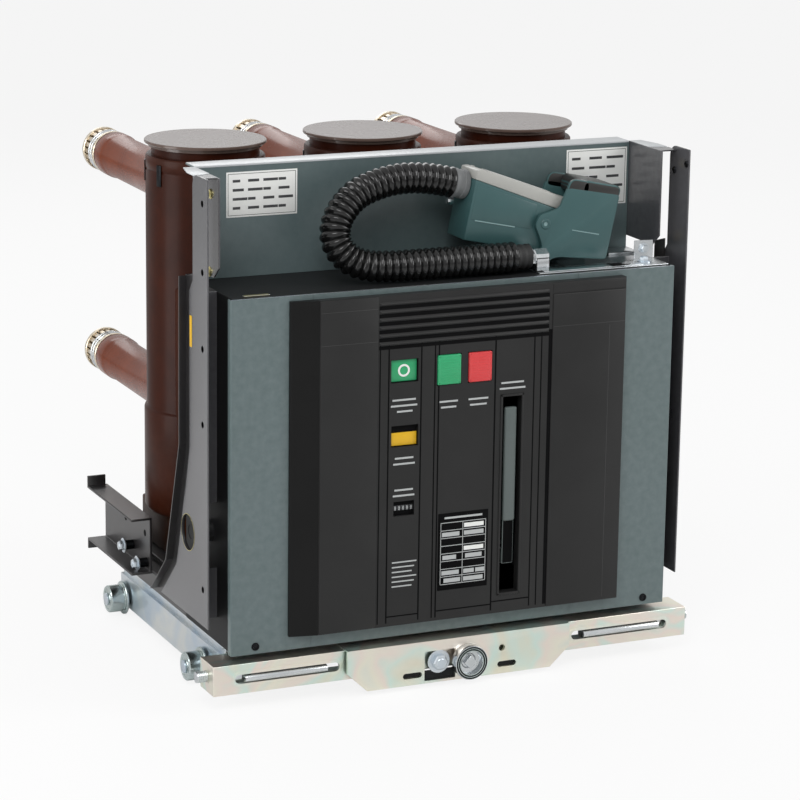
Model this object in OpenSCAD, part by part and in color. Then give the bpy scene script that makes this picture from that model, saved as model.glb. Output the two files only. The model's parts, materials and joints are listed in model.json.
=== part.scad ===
// Withdrawable vacuum circuit breaker on its truck.
// The front faces -Y, the contact arms point to +Y, +Z is up.
// Inside the modules y = 0 is the front face of the racking beam and z = 0 is the floor;
// place() then moves everything so that the origin lies under the middle of the machine.

/* [Overall] */
// Distance between the centres of neighbouring poles
phase_pitch = 210; // [180:1:280]
// Height difference between the upper and the lower contact arms
arm_pitch = 275; // [205:1:310]
// Height of the lower contact arms over the floor
lower_arm_z = 282; // [270:1:300]
// Distance from the beam's front face to the rear end of the tulip contacts
arm_reach = 692; // [600:1:760]
// Width of the racking beam
beam_w = 630; // [600:1:700]

/* [Truck] */
// Radius of a wheel's flange, which carries the truck on a flat floor
wheel_flange_r = 21.5; // [19:0.5:24]
// Radius of a wheel's tread
wheel_tread_r = 17.5; // [12:0.5:18]
// Thickness of a wheel's flange
wheel_flange_t = 4; // [3:0.5:5]
// Width of a wheel's tread
wheel_tread_w = 19; // [12:0.5:24]
// Radius of an axle pin
axle_r = 5; // [4:0.5:8]
// Radial clearance of pins and shafts in their bores
bore_gap = 0.05; // [0.02:0.01:0.1]
// Distance of the front axle from the beam's front face
front_axle_y = 113; // [90:1:160]
// Distance between the axles
wheelbase = 287; // [220:1:300]
// Outer face of a side rail, measured from the middle
rail_x = 284; // [270:1:290]
// Height of a rail's lower edge
rail_z = 10; // [7:0.5:14]
// Height of a rail
rail_h = 40; // [34:1:44]
// Sheet thickness of rails and beam
rail_t = 2.5; // [2:0.5:3.5]
// Rear end of the rails
rail_end_y = 418; // [415:1:445]

/* [Racking beam] */
// Height of the beam's lower edge
beam_z = 20; // [14:0.5:22]
// Height of the beam
beam_h = 36.5; // [34:0.5:38]
// Depth of the beam's flanges
beam_d = 44; // [40:1:48]
// Radius of the lock tongues
tongue_r = 6.5; // [4:0.5:8]
// How far a lock tongue stands out of the beam
tongue_out = 13; // [8:1:15]
// Length of a grip bar
grip_len = 105; // [90:1:110]
// Diameter of a grip bar
grip_d = 8; // [6:0.5:9]
// Half width of the centre plate
centre_half_w = 148; // [130:1:150]
// Sideways place of the racking screw
screw_x = 10; // [0:1:20]
// Height of the racking screw
screw_z = 28; // [26:0.5:32]
// Radius of the racking screw
screw_r = 9; // [7:0.5:11]
// Width across flats of the square drive end
drive_af = 12; // [10:0.5:14]
// Outer radius of the socket ring
socket_r = 21.5; // [19:0.5:22]
// Inner radius of the socket ring
socket_bore_r = 14.6; // [12:0.1:16]

/* [Mechanism] */
// Half width of the mechanism housing
housing_half_w = 285; // [281:1:286]
// Height of the housing's underside
housing_z = 63; // [61:0.5:66]
// Height of the housing's top
housing_top = 491; // [480:1:500]
// Rear face of the housing
housing_back = 172; // [160:1:180]
// Wall thickness of the housing
housing_wall = 3; // [2:0.5:5]
// Half width of the front cover
cover_half_w = 289; // [287:1:292]
// Sheet thickness of the front cover
cover_t = 1.5; // [1:0.5:3]
// Front face of the front cover
cover_y = 11; // [9:0.5:13]
// Height of the fascia's lower edge
fascia_z = 80; // [76:1:90]
// Height of the fascia's upper edge
fascia_top = 485; // [470:1:488]
// Half width of the fascia
fascia_half_w = 217; // [205:1:230]
// Front face of the fascia
fascia_y = -1; // [-4:0.5:2]
// Width of a push button
button_w = 30; // [24:1:34]
// Height of a push button
button_h = 36; // [30:1:40]
// Gap round a push button
button_gap = 0.8; // [0.5:0.1:1.5]
// Travel of a push button
button_travel = 6; // [4:0.5:8]
// Width of the charging lever
lever_w = 16; // [12:1:17]
// Height of the charging lever's pivot
lever_pivot_z = 150; // [145:1:160]
// Length of the charging lever above its pivot
lever_len = 186; // [150:1:190]
// Radius of the charging lever's shaft
lever_shaft_r = 6; // [5:0.5:8]

/* [Plates] */
// Outer face of the side plates, measured from the middle
side_x = 313; // [308:1:318]
// Thickness of the side plates
side_t = 2; // [1.5:0.5:3]
// Height of the side plates' top edge
side_top = 630; // [600:1:640]
// Height of the side plates' bottom edge
side_z = 95; // [90:1:110]
// Front face of the shroud's rear wall
wall_y = 133; // [125:1:140]
// Height of the shroud's top
shroud_top = 626; // [600:1:630]
// Half width of the shroud
shroud_half_w = 289; // [287:1:300]
// Sheet thickness of the shroud
shroud_t = 2; // [1.5:0.5:3]

/* [Poles] */
// Distance of the poles' centres from the beam's front face
pole_y = 303; // [295:1:312]
// Radius of the upper part of a pole
pole_r = 73.5; // [68:0.5:76]
// Radius of the lower part of a pole
pole_low_r = 76.5; // [70:0.5:80]
// Height where a pole's lower part ends
pole_step_z = 295; // [285:1:300]
// Height of a pole's cap
pole_top = 630; // [615:1:640]
// Radius of a pole's cap
cap_r = 75; // [70:0.5:80]
// Thickness of a pole's cap
cap_t = 4; // [3:0.5:6]
// Height of the frame that carries the poles
pole_base_z = 110; // [104:1:116]
// Radius of the arms' insulating sleeves
sleeve_r = 30; // [25:0.5:32]
// Outer radius of a tulip contact
tulip_r = 29.5; // [27:0.5:32]
// Inner radius of a tulip contact
tulip_bore_r = 17.5; // [15:0.5:20]
// Length of a tulip contact
tulip_len = 44; // [38:1:50]

/* [Plug] */
// Outer diameter of the corrugated conduit
conduit_d = 38; // [34:1:38]
// Slope of the plug where its inner end lies on the conduit
plug_tilt = 12; // [10:0.5:14]
// Length of the plug's housing
plug_len = 150; // [140:1:155]
// Height of the plug's housing
plug_h = 74; // [70:1:78]
// Depth of the plug's housing
plug_d = 50; // [44:1:52]

/* [Hidden] */
$fn = 64;

front_reach = 22;                      // how far the socket ring stands in front of the beam
mid_y = (arm_reach - front_reach) / 2;
lid_t = 1.5;                           // sheet of the lid plate and its angle
lip_t = 1.5;                           // folded upper flange of the centre plate
seat = 0.3;                            // gap between a piece and what it lies on

wheel_z = wheel_flange_r;
wheel_in = rail_x + 2;                 // inner face of a wheel's flange
wheel_out = wheel_in + wheel_flange_t + wheel_tread_w;
rail_lip = 22;                         // width of a rail's flanges
deck_z = rail_z + rail_h + 10;
deck_y = beam_d + 6;

beam_top = beam_z + beam_h;
beam_mid = beam_z + beam_h / 2;
tongue_y = 25;
grip_in = 171;                         // inner end of a grip bar
slot_in = grip_in - 17;
slot_out = grip_in + grip_len + 13;
link_y = 8;                            // front face of a handle's link plate
arm_end_y = 330;                       // rear end of the beam's guide arms

plate_y = -9;                          // front face of the centre plate
plate_t = 4;

button_z = 390;                        // middle height of the push buttons
close_x = -17;
open_x = 23.5;
lever_x = 67;
lever_pivot_y = 28;
slot_half_w = 12.5;                    // half width of the charging lever's slot
slot_z = 105;
slot_top = 350;
cheek_t = 4;

boss_y = 90;                           // middle of the round boss behind each side plate
boss_z = 197;
boss_r = 14;

upper_arm_z = lower_arm_z + arm_pitch;
pole_boss_r = 36;
arm_root_y = pole_y + pole_r + 9;
foot_top = pole_base_z + 56;
post_y = pole_y + 122;
post_r = 34;
base_end_y = post_y + 35;

bracket_y = 250;
bracket_end = 420;
bracket_z = 98;
bracket_top = 170;
bracket_t = 3;
bracket_x = phase_pitch + pole_low_r + 14.5 + bracket_t;  // outer face of a bracket's web, clear of the outer pole
bracket_out = bracket_x + 24;

// The conduit's middle line, from the plug round to its gland on the housing.
conduit_route = [
    [22, 90, 597], [4, 90, 601], [-16, 90, 604], [-38, 90, 605], [-60, 89, 603], [-82, 87, 598],
    [-103, 84, 590], [-120, 79, 577], [-132, 73, 562], [-137, 66, 545], [-133, 59, 530],
    [-120, 52, 518], [-101, 46, 512], [-78, 42, 510.5], [-54, 40, 510.5], [-30, 40, 510.5],
    [-6, 40, 510.5], [18, 40, 510.5], [42, 40, 510.5], [62, 40, 510.5], [84, 40, 510.5]
];
conduit_sides = 12;

plug_foot = [28, 62, 530.5];           // lower inner front corner of the plug
lever_d = 5;                           // thickness of the plug lever's side cheeks
pivot_r = 6.5;

module place() { translate([0, -mid_y, 0]) children(); }
module both_sides() { children(); mirror([1, 0, 0]) children(); }
module box(from, to) { translate(from) cube(to - from); }
module along_x(at, len, r) { translate(at) rotate([0, 90, 0]) cylinder(h = len, r = r); }
module along_y(at, len, r) { translate(at) rotate([-90, 0, 0]) cylinder(h = len, r = r); }
// A plate whose outline is drawn in the YZ plane, from x = at to x = at + t.
module plate_yz(at, t) { translate([at, 0, 0]) rotate([90, 0, 90]) linear_extrude(t) children(); }
// A plate whose outline is drawn in the XZ plane, from y = at to y = at + t.
module plate_xz(at, t) { translate([0, at + t, 0]) rotate([90, 0, 0]) linear_extrude(t) children(); }
module each_pole() { for (i = [-1:1]) translate([i * phase_pitch, 0, 0]) children(); }

/* truck */
module rail_right() {
    box([rail_x - rail_t, beam_d + 2, rail_z], [rail_x, rail_end_y, rail_z + rail_h]);
    box([rail_x - rail_lip, beam_d + 2, rail_z], [rail_x, rail_end_y, rail_z + rail_t]);
    box([rail_x - rail_lip, beam_d + 2, rail_z + rail_h - rail_t], [rail_x, rail_end_y, rail_z + rail_h]);
    // bar that lifts the deck over the beam
    box([rail_x - rail_lip + 2, deck_y + 2, rail_z + rail_h], [rail_x - 4, rail_end_y, deck_z]);
    for (y = [front_axle_y, front_axle_y + wheelbase]) {
        along_x([rail_x, y, wheel_z], wheel_out + 1 - rail_x, axle_r);
        along_x([rail_x, y, wheel_z], wheel_in - 0.5 - rail_x, axle_r + 4);
        along_x([wheel_out + 0.5, y, wheel_z], 2, axle_r + 3);
    }
}
module rails() color("lightsteelblue") place() both_sides() rail_right();

module deck() color("lightsteelblue") place()
    box([-rail_x, deck_y, deck_z], [rail_x, rail_end_y, housing_z]);

module wheel(y) place() difference() {
    union() {
        along_x([wheel_in, y, wheel_z], wheel_flange_t, wheel_flange_r);
        along_x([wheel_in, y, wheel_z], wheel_out - wheel_in, wheel_tread_r);
    }
    along_x([wheel_in - 1, y, wheel_z], wheel_out - wheel_in + 2, axle_r + bore_gap);
}
module wheel_front_left() color("silver") mirror([1, 0, 0]) wheel(front_axle_y);
module wheel_front_right() color("silver") wheel(front_axle_y);
module wheel_rear_left() color("silver") mirror([1, 0, 0]) wheel(front_axle_y + wheelbase);
module wheel_rear_right() color("silver") wheel(front_axle_y + wheelbase);

module screw_nut() color("silver") place() difference() {
    box([screw_x - 20, deck_y + 4, screw_z - 16], [screw_x + 20, deck_y + 34, deck_z]);
    along_y([screw_x, deck_y, screw_z], 40, screw_r + bore_gap);
}

/* racking beam */
module front_beam() color("palegoldenrod") place() difference() {
    union() {
        box([-beam_w / 2, 0, beam_z], [beam_w / 2, rail_t, beam_top]);
        box([-beam_w / 2, 0, beam_z], [beam_w / 2, beam_d, beam_z + rail_t]);
        box([-beam_w / 2, 0, beam_top - rail_t], [beam_w / 2, beam_d, beam_top]);
        both_sides() box([beam_w / 2 - rail_t, 0, beam_z], [beam_w / 2, beam_d, beam_top]);
    }
    both_sides() {
        box([slot_in, -1, beam_mid - 6], [slot_out, rail_t + 1, beam_mid + 6]);
        along_x([beam_w / 2 - rail_t - 1, tongue_y, beam_mid], rail_t + 2, tongue_r + 0.5);
    }
    along_y([screw_x, -1, screw_z], beam_d + 2, screw_r + 1);
}

module beam_arms() color("silver") place() both_sides()
    box([rail_x - 9, beam_d, rail_z + rail_t + 0.4], [rail_x - 6, arm_end_y, rail_z + rail_h - rail_t - 0.4]);

module centre_plate() color("palegoldenrod") place() {
    low = 5;
    foot_half_w = centre_half_w - 26;
    difference() {
        plate_xz(plate_y, plate_t) difference() {
            polygon([
                [-centre_half_w, beam_top + lip_t], [centre_half_w, beam_top + lip_t], [centre_half_w, low + 24],
                [foot_half_w, low], [-foot_half_w, low], [-centre_half_w, low + 24]
            ]);
            translate([-47, low + 3]) square([41, 37]);
            for (x = [-63, 63]) hull() for (dx = [-9, 9]) translate([x + dx, 17]) circle(r = 3.5, $fn = 32);
            translate([56, 38]) circle(r = 4);
        }
        along_y([screw_x, plate_y - 1, screw_z], plate_t + 2, screw_r + 1);
    }
    // folded top edge that lies on the beam
    box([-centre_half_w, plate_y, beam_top], [centre_half_w, beam_d - 6, beam_top + lip_t]);
    // distance strip between the plate and the beam
    box([-centre_half_w + 10, plate_y + plate_t, beam_top - 10], [centre_half_w - 10, 0, beam_top]);
}

module socket_ring() color("silver") place() difference() {
    along_y([screw_x, -front_reach, screw_z], plate_y + front_reach, socket_r);
    along_y([screw_x, -front_reach - 1, screw_z], plate_y + front_reach - 2, socket_bore_r);
    along_y([screw_x, -front_reach - 1, screw_z], plate_y + front_reach + 2, screw_r + bore_gap);
}

module racking_screw() color("silver") place() {
    along_y([screw_x, plate_y - 3, screw_z], arm_end_y - 20, screw_r);
    translate([screw_x, plate_y - 10, screw_z]) rotate([0, 45, 0])
        translate([-drive_af / 2, 0, -drive_af / 2]) cube([drive_af, 8, drive_af]);
}

module handle() {
    grip_out = grip_in + grip_len;
    post = 8;
    // grip bar with rounded ends
    along_x([grip_in, 0, beam_mid], grip_len, grip_d / 2);
    for (x = [grip_in, grip_out - post])
        box([x, 0, beam_mid - 4], [x + post, link_y, beam_mid + 4]);
    box([grip_in, link_y, beam_mid - 7], [beam_w / 2 - 12, link_y + 4, beam_mid + 7]);
    box([beam_w / 2 - 20, link_y, beam_mid - 7], [beam_w / 2 - 12, tongue_y + 7, beam_mid + 7]);
    along_x([beam_w / 2 - 13, tongue_y, beam_mid], 13 + tongue_out, tongue_r);
}
module handle_right() color("gainsboro") place() handle();
module handle_left() color("gainsboro") place() mirror([1, 0, 0]) handle();

/* mechanism */
module housing() color("dimgray") place() {
    front = cover_y + cover_t;
    difference() {
        box([-housing_half_w, front, housing_z], [housing_half_w, housing_back, housing_top]);
        box([-housing_half_w + housing_wall, front - 1, housing_z + housing_wall],
            [housing_half_w - housing_wall, housing_back - housing_wall, housing_top - housing_wall]);
    }
    // cheeks that carry the charging lever's shaft
    difference() {
        for (side = [-1, 1]) translate([lever_x + side * (slot_half_w + 7), 0, 0])
            box([-cheek_t / 2, front + 5, lever_pivot_z - 20], [cheek_t / 2, housing_back - housing_wall, lever_pivot_z + 20]);
        along_x([lever_x - 40, lever_pivot_y, lever_pivot_z], 80, lever_shaft_r + bore_gap);
    }
    // round bosses that show through the side plates
    both_sides() along_x([housing_half_w, boss_y, boss_z], side_x - 5 - housing_half_w, boss_r);
}

module front_cover() color("slategray") place() difference() {
    union() {
        box([-cover_half_w, cover_y, housing_z], [cover_half_w, cover_y + cover_t, housing_top]);
        both_sides() box([housing_half_w + seat, cover_y, housing_z], [cover_half_w, cover_y + 10, housing_top]);
    }
    // opening behind the fascia
    box([-fascia_half_w + 30, cover_y - 1, fascia_z + 15], [fascia_half_w - 60, cover_y + cover_t + 1, fascia_top - 30]);
}

module fascia() color("black") place() {
    bevel = 34;
    depth = cover_y - fascia_y;
    difference() {
        translate([0, 0, fascia_z]) linear_extrude(fascia_top - fascia_z) polygon([
            [-fascia_half_w, cover_y], [-fascia_half_w, cover_y - 3], [-fascia_half_w + bevel, fascia_y],
            [fascia_half_w, fascia_y], [fascia_half_w, cover_y]
        ]);
        // charging lever's slot
        box([lever_x - slot_half_w, fascia_y - 1, slot_z], [lever_x + slot_half_w, cover_y + 1, slot_top]);
        for (x = [close_x, open_x])
            box([x - button_w / 2 - button_gap, fascia_y - 1, button_z - button_h / 2 - button_gap],
                [x + button_w / 2 + button_gap, cover_y + 1, button_z + button_h / 2 + button_gap]);
        // windows of the position flag, the spring flag and the counter
        for (w = [[-92, 379, 35, 28], [-91, 301, 35, 26], [-87, 216, 27, 18]])
            box([w[0], fascia_y - 1, w[1]], [w[0] + w[2], fascia_y + depth / 3, w[1] + w[3]]);
    }
}

module button(x) place()
    box([x - button_w / 2, fascia_y - 1, button_z - button_h / 2],
        [x + button_w / 2, cover_y + cover_t + button_travel, button_z + button_h / 2]);
module close_button() color("green") button(close_x);
module open_button() color("red") button(open_x);

module charging_lever() color("darkslategray") place() difference() {
    bar_y = fascia_y + 3;
    union() {
        box([lever_x - lever_w / 2, bar_y, lever_pivot_z - 10], [lever_x + lever_w / 2, bar_y + 6, lever_pivot_z + lever_len]);
        box([lever_x - lever_w / 2, bar_y, lever_pivot_z - 10], [lever_x + lever_w / 2, lever_pivot_y, lever_pivot_z + 10]);
        along_x([lever_x - lever_w / 2 - 2, lever_pivot_y, lever_pivot_z], lever_w + 4, lever_shaft_r + 6);
    }
    along_x([lever_x - lever_w, lever_pivot_y, lever_pivot_z], lever_w * 2, lever_shaft_r + bore_gap);
}
module lever_shaft() color("silver") place()
    along_x([lever_x - slot_half_w - 12, lever_pivot_y, lever_pivot_z], 2 * slot_half_w + 24, lever_shaft_r);

module top_plate() color("gainsboro") place() {
    box([110, 20, housing_top], [housing_half_w, 128, housing_top + lid_t]);
    box([housing_half_w - 26, 60, housing_top + lid_t], [housing_half_w, 60 + lid_t, housing_top + 24]);
}

/* plates */
module shroud_wall() color("slategray") place() {
    inner = shroud_half_w - shroud_t;
    box([-inner, wall_y, housing_top], [inner, wall_y + shroud_t, shroud_top]);
    box([-inner, wall_y, shroud_top - shroud_t], [inner, wall_y + 32, shroud_top]);
}

module shroud_wings() color("slategray") place() both_sides() {
    foot = housing_top + 16;
    plate_yz(shroud_half_w - shroud_t, shroud_t) polygon([
        [50, shroud_top], [50, foot + 14], [67, foot], [wall_y + shroud_t, foot], [wall_y + shroud_t, shroud_top]
    ]);
    // flange folded outwards over to the side plate
    box([shroud_half_w, 56, shroud_top - shroud_t], [side_x - side_t, 76, shroud_top]);
    box([shroud_half_w, 76, shroud_top - shroud_t], [shroud_half_w + 14, 126, shroud_top]);
}

module side_plate() {
    round_r = 14;
    difference() {
        plate_yz(side_x - side_t, side_t) union() {
            polygon([
                [24, side_z], [24, side_top], [72 - round_r, side_top], [72, side_top - round_r],
                [72, 505], [84, 490], [84, 302], [130, 147], [185, side_z]
            ]);
            translate([72 - round_r, side_top - round_r]) circle(r = round_r);
        }
        along_x([side_x - side_t - 1, boss_y, boss_z], side_t + 2, boss_r + 8);
    }
    // inner flange that is screwed to the housing
    box([housing_half_w, 66, boss_z + 40], [side_x - side_t, 68, housing_top]);
    box([housing_half_w, 66, side_z], [side_x - side_t, 68, boss_z - 40]);
}
module side_plate_right() color("dimgray") place() side_plate();
module side_plate_left() color("dimgray") place() mirror([1, 0, 0]) side_plate();

// Rear edge of a gusset, as [y, z] points from top to bottom.
function gusset_edge(in) = [[100 - in, 505 + in / 3], [102 - in, 302], [150 - in, 147], [205 - in, side_z]];
module gusset() {
    lip = 9;
    difference() {
        plate_yz(side_x - side_t - 2, 2)
            polygon(concat([[76, side_z], [76, 512]], gusset_edge(0)));
        along_x([side_x - side_t - 3, boss_y, boss_z], 4, boss_r + 8);
    }
    plate_yz(side_x - side_t, lip)
        polygon(concat(gusset_edge(0), [for (i = [3:-1:0]) gusset_edge(2)[i]]));
}
module gussets() color("black") place() both_sides() gusset();

/* poles */
module pole_bearers() color("black") place() both_sides()
    box([housing_half_w - 35, housing_back, housing_z], [housing_half_w, base_end_y, pole_base_z - 5]);
module pole_plate() color("black") place()
    box([-housing_half_w, housing_back, pole_base_z - 5], [housing_half_w, base_end_y, pole_base_z]);

module pole() color("saddlebrown") place() {
    groove_z = pole_top - cap_t - 14;
    translate([0, pole_y, foot_top - 1]) cylinder(h = pole_step_z - foot_top + 1, r = pole_low_r);
    translate([0, pole_y, pole_step_z]) cylinder(h = groove_z - pole_step_z, r = pole_r);
    translate([0, pole_y, groove_z]) cylinder(h = 10, r = pole_r - 7);
    box([-60, pole_y - 68, pole_base_z], [60, pole_y + 72, foot_top]);
    // mounting foot on the housing's rear wall
    box([-45, housing_back, foot_top + 9], [45, pole_y - 40, housing_top - 20]);
    for (z = [lower_arm_z, upper_arm_z]) along_y([0, pole_y, z], arm_root_y - pole_y, pole_boss_r);
}
module pole_left() translate([-phase_pitch, 0, 0]) pole();
module pole_middle() pole();
module pole_right() translate([phase_pitch, 0, 0]) pole();

module pole_caps() color("rosybrown") place() each_pole() {
    translate([0, pole_y, pole_top - cap_t]) cylinder(h = cap_t, r = cap_r);
    translate([0, pole_y, pole_top - cap_t - 4]) cylinder(h = 4, r = pole_r - 4);
}

module sleeves(z) color("sienna") place() each_pole()
    along_y([0, arm_root_y, z], arm_reach - tulip_len - arm_root_y, sleeve_r);
module upper_arms() sleeves(upper_arm_z);
module lower_arms() sleeves(lower_arm_z);

module tulips(z) color("tan") place() each_pole() difference() {
    along_y([0, arm_reach - tulip_len, z], tulip_len, tulip_r);
    along_y([0, arm_reach - tulip_len + 4, z], tulip_len, tulip_bore_r);
}
module upper_tulips() tulips(upper_arm_z);
module lower_tulips() tulips(lower_arm_z);

module post_insulators() color("saddlebrown") place() each_pole() {
    sheds = 3;
    top = lower_arm_z - sleeve_r - seat;
    block_top = pole_base_z + 50;
    box([-28, post_y - 28, pole_base_z], [28, post_y + 28, block_top]);
    translate([0, post_y, block_top]) cylinder(h = top - block_top, r = post_r - 9);
    for (i = [0:sheds - 1]) translate([0, post_y, block_top + 16 + i * 22]) cylinder(h = 7, r = post_r);
}

module bracket() {
    // C-shaped guide channel
    box([bracket_x - bracket_t, bracket_y, bracket_z], [bracket_x, bracket_end, bracket_top]);
    box([bracket_x - bracket_t, bracket_y, bracket_z], [bracket_out, bracket_end, bracket_z + bracket_t]);
    box([bracket_x - bracket_t, bracket_y, bracket_top - bracket_t], [bracket_out, bracket_end, bracket_top]);
    // turned lips at the rear ends of the flanges
    box([bracket_x, bracket_end - bracket_t, bracket_top], [bracket_out, bracket_end, bracket_top + 13]);
    box([bracket_x, bracket_end - bracket_t, bracket_z - 11], [bracket_out, bracket_end, bracket_z]);
    // angle between the channel and the pole frame
    box([housing_half_w, bracket_y - 60, bracket_z], [bracket_x - bracket_t, bracket_end - 20, bracket_z + 4]);
}
module bracket_right() color("black") place() bracket();
module bracket_left() color("black") place() mirror([1, 0, 0]) bracket();

/* plug and conduit */
module conduit_fitting() color("silver") place() {
    last = conduit_route[len(conduit_route) - 1];
    along_x(last, 20, 15);
    along_x(last + [20, 0, -2], 24, 11);
    box(last + [26, -10, housing_top + lid_t - last[2]], last + [44, 10, 0]);
}

function unit(v) = v / norm(v);
// Direction of the route at point i.
function heading(p, i) = i == 0 ? unit(p[1] - p[0])
    : i == len(p) - 1 ? unit(p[i] - p[i - 1]) : unit(p[i + 1] - p[i - 1]);
function side(p, i) = unit(cross(heading(p, i), [0, -0.9, 0.45]));
// A tube of n sides and radius r whose rings stand square on the route p.
module swept_tube(p, r, n) {
    rings = [for (i = [0:len(p) - 1], k = [0:n - 1])
        let (s = side(p, i), t = cross(heading(p, i), s), a = 360 * k / n)
        p[i] + r * (cos(a) * s + sin(a) * t)];
    last = (len(p) - 1) * n;
    walls = [for (i = [0:len(p) - 2], k = [0:n - 1])
        [i * n + k, (i + 1) * n + k, (i + 1) * n + (k + 1) % n, i * n + (k + 1) % n]];
    polyhedron(rings, concat([[for (k = [0:n - 1]) k]], walls, [[for (k = [n - 1:-1:0]) last + k]]));
}
module conduit() color("black") place() swept_tube(conduit_route, conduit_d / 2, conduit_sides);

plug_end_h = plug_h - 24;              // height of the plug's outer end
grip_w = 33;
pivot = [101, 36];                     // the plug lever's pivot, from the plug's lower front corner

// Moves a piece drawn round the plug's own corner to where the plug lies.
module on_plug() place() translate(plug_foot) rotate([0, plug_tilt, 0]) children();

module plug_body() color("cadetblue") on_plug() difference() {
    plate_xz(0, plug_d) polygon([[0, 0], [plug_len, 0], [plug_len, plug_end_h], [0, plug_h]]);
    along_y([pivot[0], -1, pivot[1]], plug_d + 2, pivot_r + bore_gap);
}

module plug_lid() color("lightgray") on_plug() plate_xz(2, plug_d - 4) polygon([
    [0, plug_h], [plug_len, plug_end_h], [plug_len, plug_end_h + 19], [8, plug_h + 14], [0, plug_h + 12]
]);

module cable_clamp() color("gray") on_plug() {
    middle = [-20 + seat, 28, 64];
    along_x(middle, 20 - seat, conduit_d / 2 - 1);
    along_x(middle - [0, 0, conduit_d / 2 + 3], 8, 5);
}

module plug_lever() color("cadetblue") on_plug() {
    end_x = plug_len + 10 + grip_w;
    // two cheeks with hooks, the pivot pin and the grip across the end
    for (y = [-lever_d - 1, plug_d + 1]) plate_xz(y, lever_d) difference() {
        polygon([
            [pivot[0] - 13, pivot[1] - 4], [pivot[0] - 10, pivot[1] + 10], [pivot[0], pivot[1] + 14],
            [118, 60], [124, 90], [end_x, 92], [end_x, 5], [129, -1], [118, -5], [112, -14],
            [99, -14], [93, -8], [97, 0], [104, 6], [98, 18]
        ]);
        translate([pivot[0], 11]) circle(r = 3);
    }
    along_y([pivot[0], -lever_d - 1, pivot[1]], plug_d + 2 * lever_d + 2, pivot_r);
    box([plug_len + 10, -lever_d - 1, plug_end_h + 22], [end_x, plug_d + lever_d + 1, 96]);
}

rails();
deck();
wheel_front_left();
wheel_front_right();
wheel_rear_left();
wheel_rear_right();
pole_bearers();
pole_plate();
housing();
front_cover();
fascia();
top_plate();
shroud_wall();
shroud_wings();
side_plate_left();
side_plate_right();
gussets();
pole_left();
pole_middle();
pole_right();
pole_caps();
upper_arms();
lower_arms();
upper_tulips();
lower_tulips();
post_insulators();
bracket_left();
bracket_right();
front_beam();
beam_arms();
centre_plate();
socket_ring();
racking_screw();
screw_nut();
handle_left();
handle_right();
close_button();
open_button();
charging_lever();
lever_shaft();
conduit_fitting();
conduit();
plug_body();
plug_lid();
cable_clamp();
plug_lever();
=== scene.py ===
# Vacuum circuit breaker on its truck: finishes, fine detail, camera and light round the fixed CAD frame.
# Sizes below are in millimetres in the machine's own frame: y = 0 is the front of the racking beam,
# z = 0 the floor. pt() turns them into metres in the frame's own origin.
import json
import math

import bmesh
import bpy
from mathutils import Matrix, Vector


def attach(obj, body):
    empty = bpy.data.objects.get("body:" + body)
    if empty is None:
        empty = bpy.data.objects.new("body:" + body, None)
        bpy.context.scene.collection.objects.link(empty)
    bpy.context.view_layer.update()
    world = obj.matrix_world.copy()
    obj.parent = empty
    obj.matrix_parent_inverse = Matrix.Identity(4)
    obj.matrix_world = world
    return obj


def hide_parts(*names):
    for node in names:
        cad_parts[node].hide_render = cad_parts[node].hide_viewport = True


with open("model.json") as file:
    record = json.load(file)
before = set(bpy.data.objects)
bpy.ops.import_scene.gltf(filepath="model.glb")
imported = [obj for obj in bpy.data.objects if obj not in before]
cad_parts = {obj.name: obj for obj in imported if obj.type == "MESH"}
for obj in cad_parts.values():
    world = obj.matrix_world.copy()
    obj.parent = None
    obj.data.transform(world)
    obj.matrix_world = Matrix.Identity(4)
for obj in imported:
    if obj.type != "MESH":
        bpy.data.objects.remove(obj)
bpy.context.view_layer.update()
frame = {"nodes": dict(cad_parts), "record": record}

midY = 335            # the frame's origin lies this far behind the beam's front
mm = 0.001


def pt(x, y, z):
    return Vector((x * mm, (y - midY) * mm, z * mm))


def toLinear(hexColour):
    channels = [int(hexColour[i:i + 2], 16) / 255 for i in (1, 3, 5)]
    return [c / 12.92 if c <= 0.04045 else ((c + 0.055) / 1.055) ** 2.4 for c in channels] + [1.0]


# camera, set first
view = {"azimuth": -24.326, "elevation": 13.996, "roll": 0.799, "distance": 3848.6,
        "target": (6.9, 193.2, 305.5), "lens": 138.9}


def placeCamera(v):
    az, el, roll = (math.radians(v[k]) for k in ("azimuth", "elevation", "roll"))
    back = Vector((math.sin(az) * math.cos(el), -math.cos(az) * math.cos(el), math.sin(el)))
    level = Vector((math.cos(az), math.sin(az), 0))
    up = back.cross(level)
    right = math.cos(roll) * level + math.sin(roll) * up
    top = -math.sin(roll) * level + math.cos(roll) * up
    data = bpy.data.cameras.new("camera")
    data.lens = v["lens"]
    data.sensor_width = 36
    data.clip_end = 50
    cam = bpy.data.objects.new("camera", data)
    bpy.context.collection.objects.link(cam)
    place = Matrix((right, top, back)).transposed().to_4x4()
    place.translation = pt(*v["target"]) + back * v["distance"] * mm
    cam.matrix_world = place
    bpy.context.scene.camera = cam


placeCamera(view)
print("camera placed")


# materials
def addNode(tree, kind, settings=None, links=None):
    n = tree.nodes.new(kind)
    for key, value in (settings or {}).items():
        if key == "stops":
            # a new colour ramp has two stops, which become the first and the last one
            stops = n.color_ramp.elements
            for stop, (place, colour) in ((stops[0], value[0]), (stops[1], value[-1])):
                stop.position, stop.color = place, toLinear(colour)
            for place, colour in value[1:-1]:
                stops.new(place).color = toLinear(colour)
        elif key in n.inputs:
            n.inputs[key].default_value = value
        elif key.startswith("in"):
            n.inputs[int(key[2:])].default_value = value
        else:
            setattr(n, key, value)
    for key, source in (links or {}).items():
        socket = n.inputs[int(key[2:])] if key.startswith("in") else n.inputs[key]
        tree.links.new(source, socket)
    return n


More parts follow.
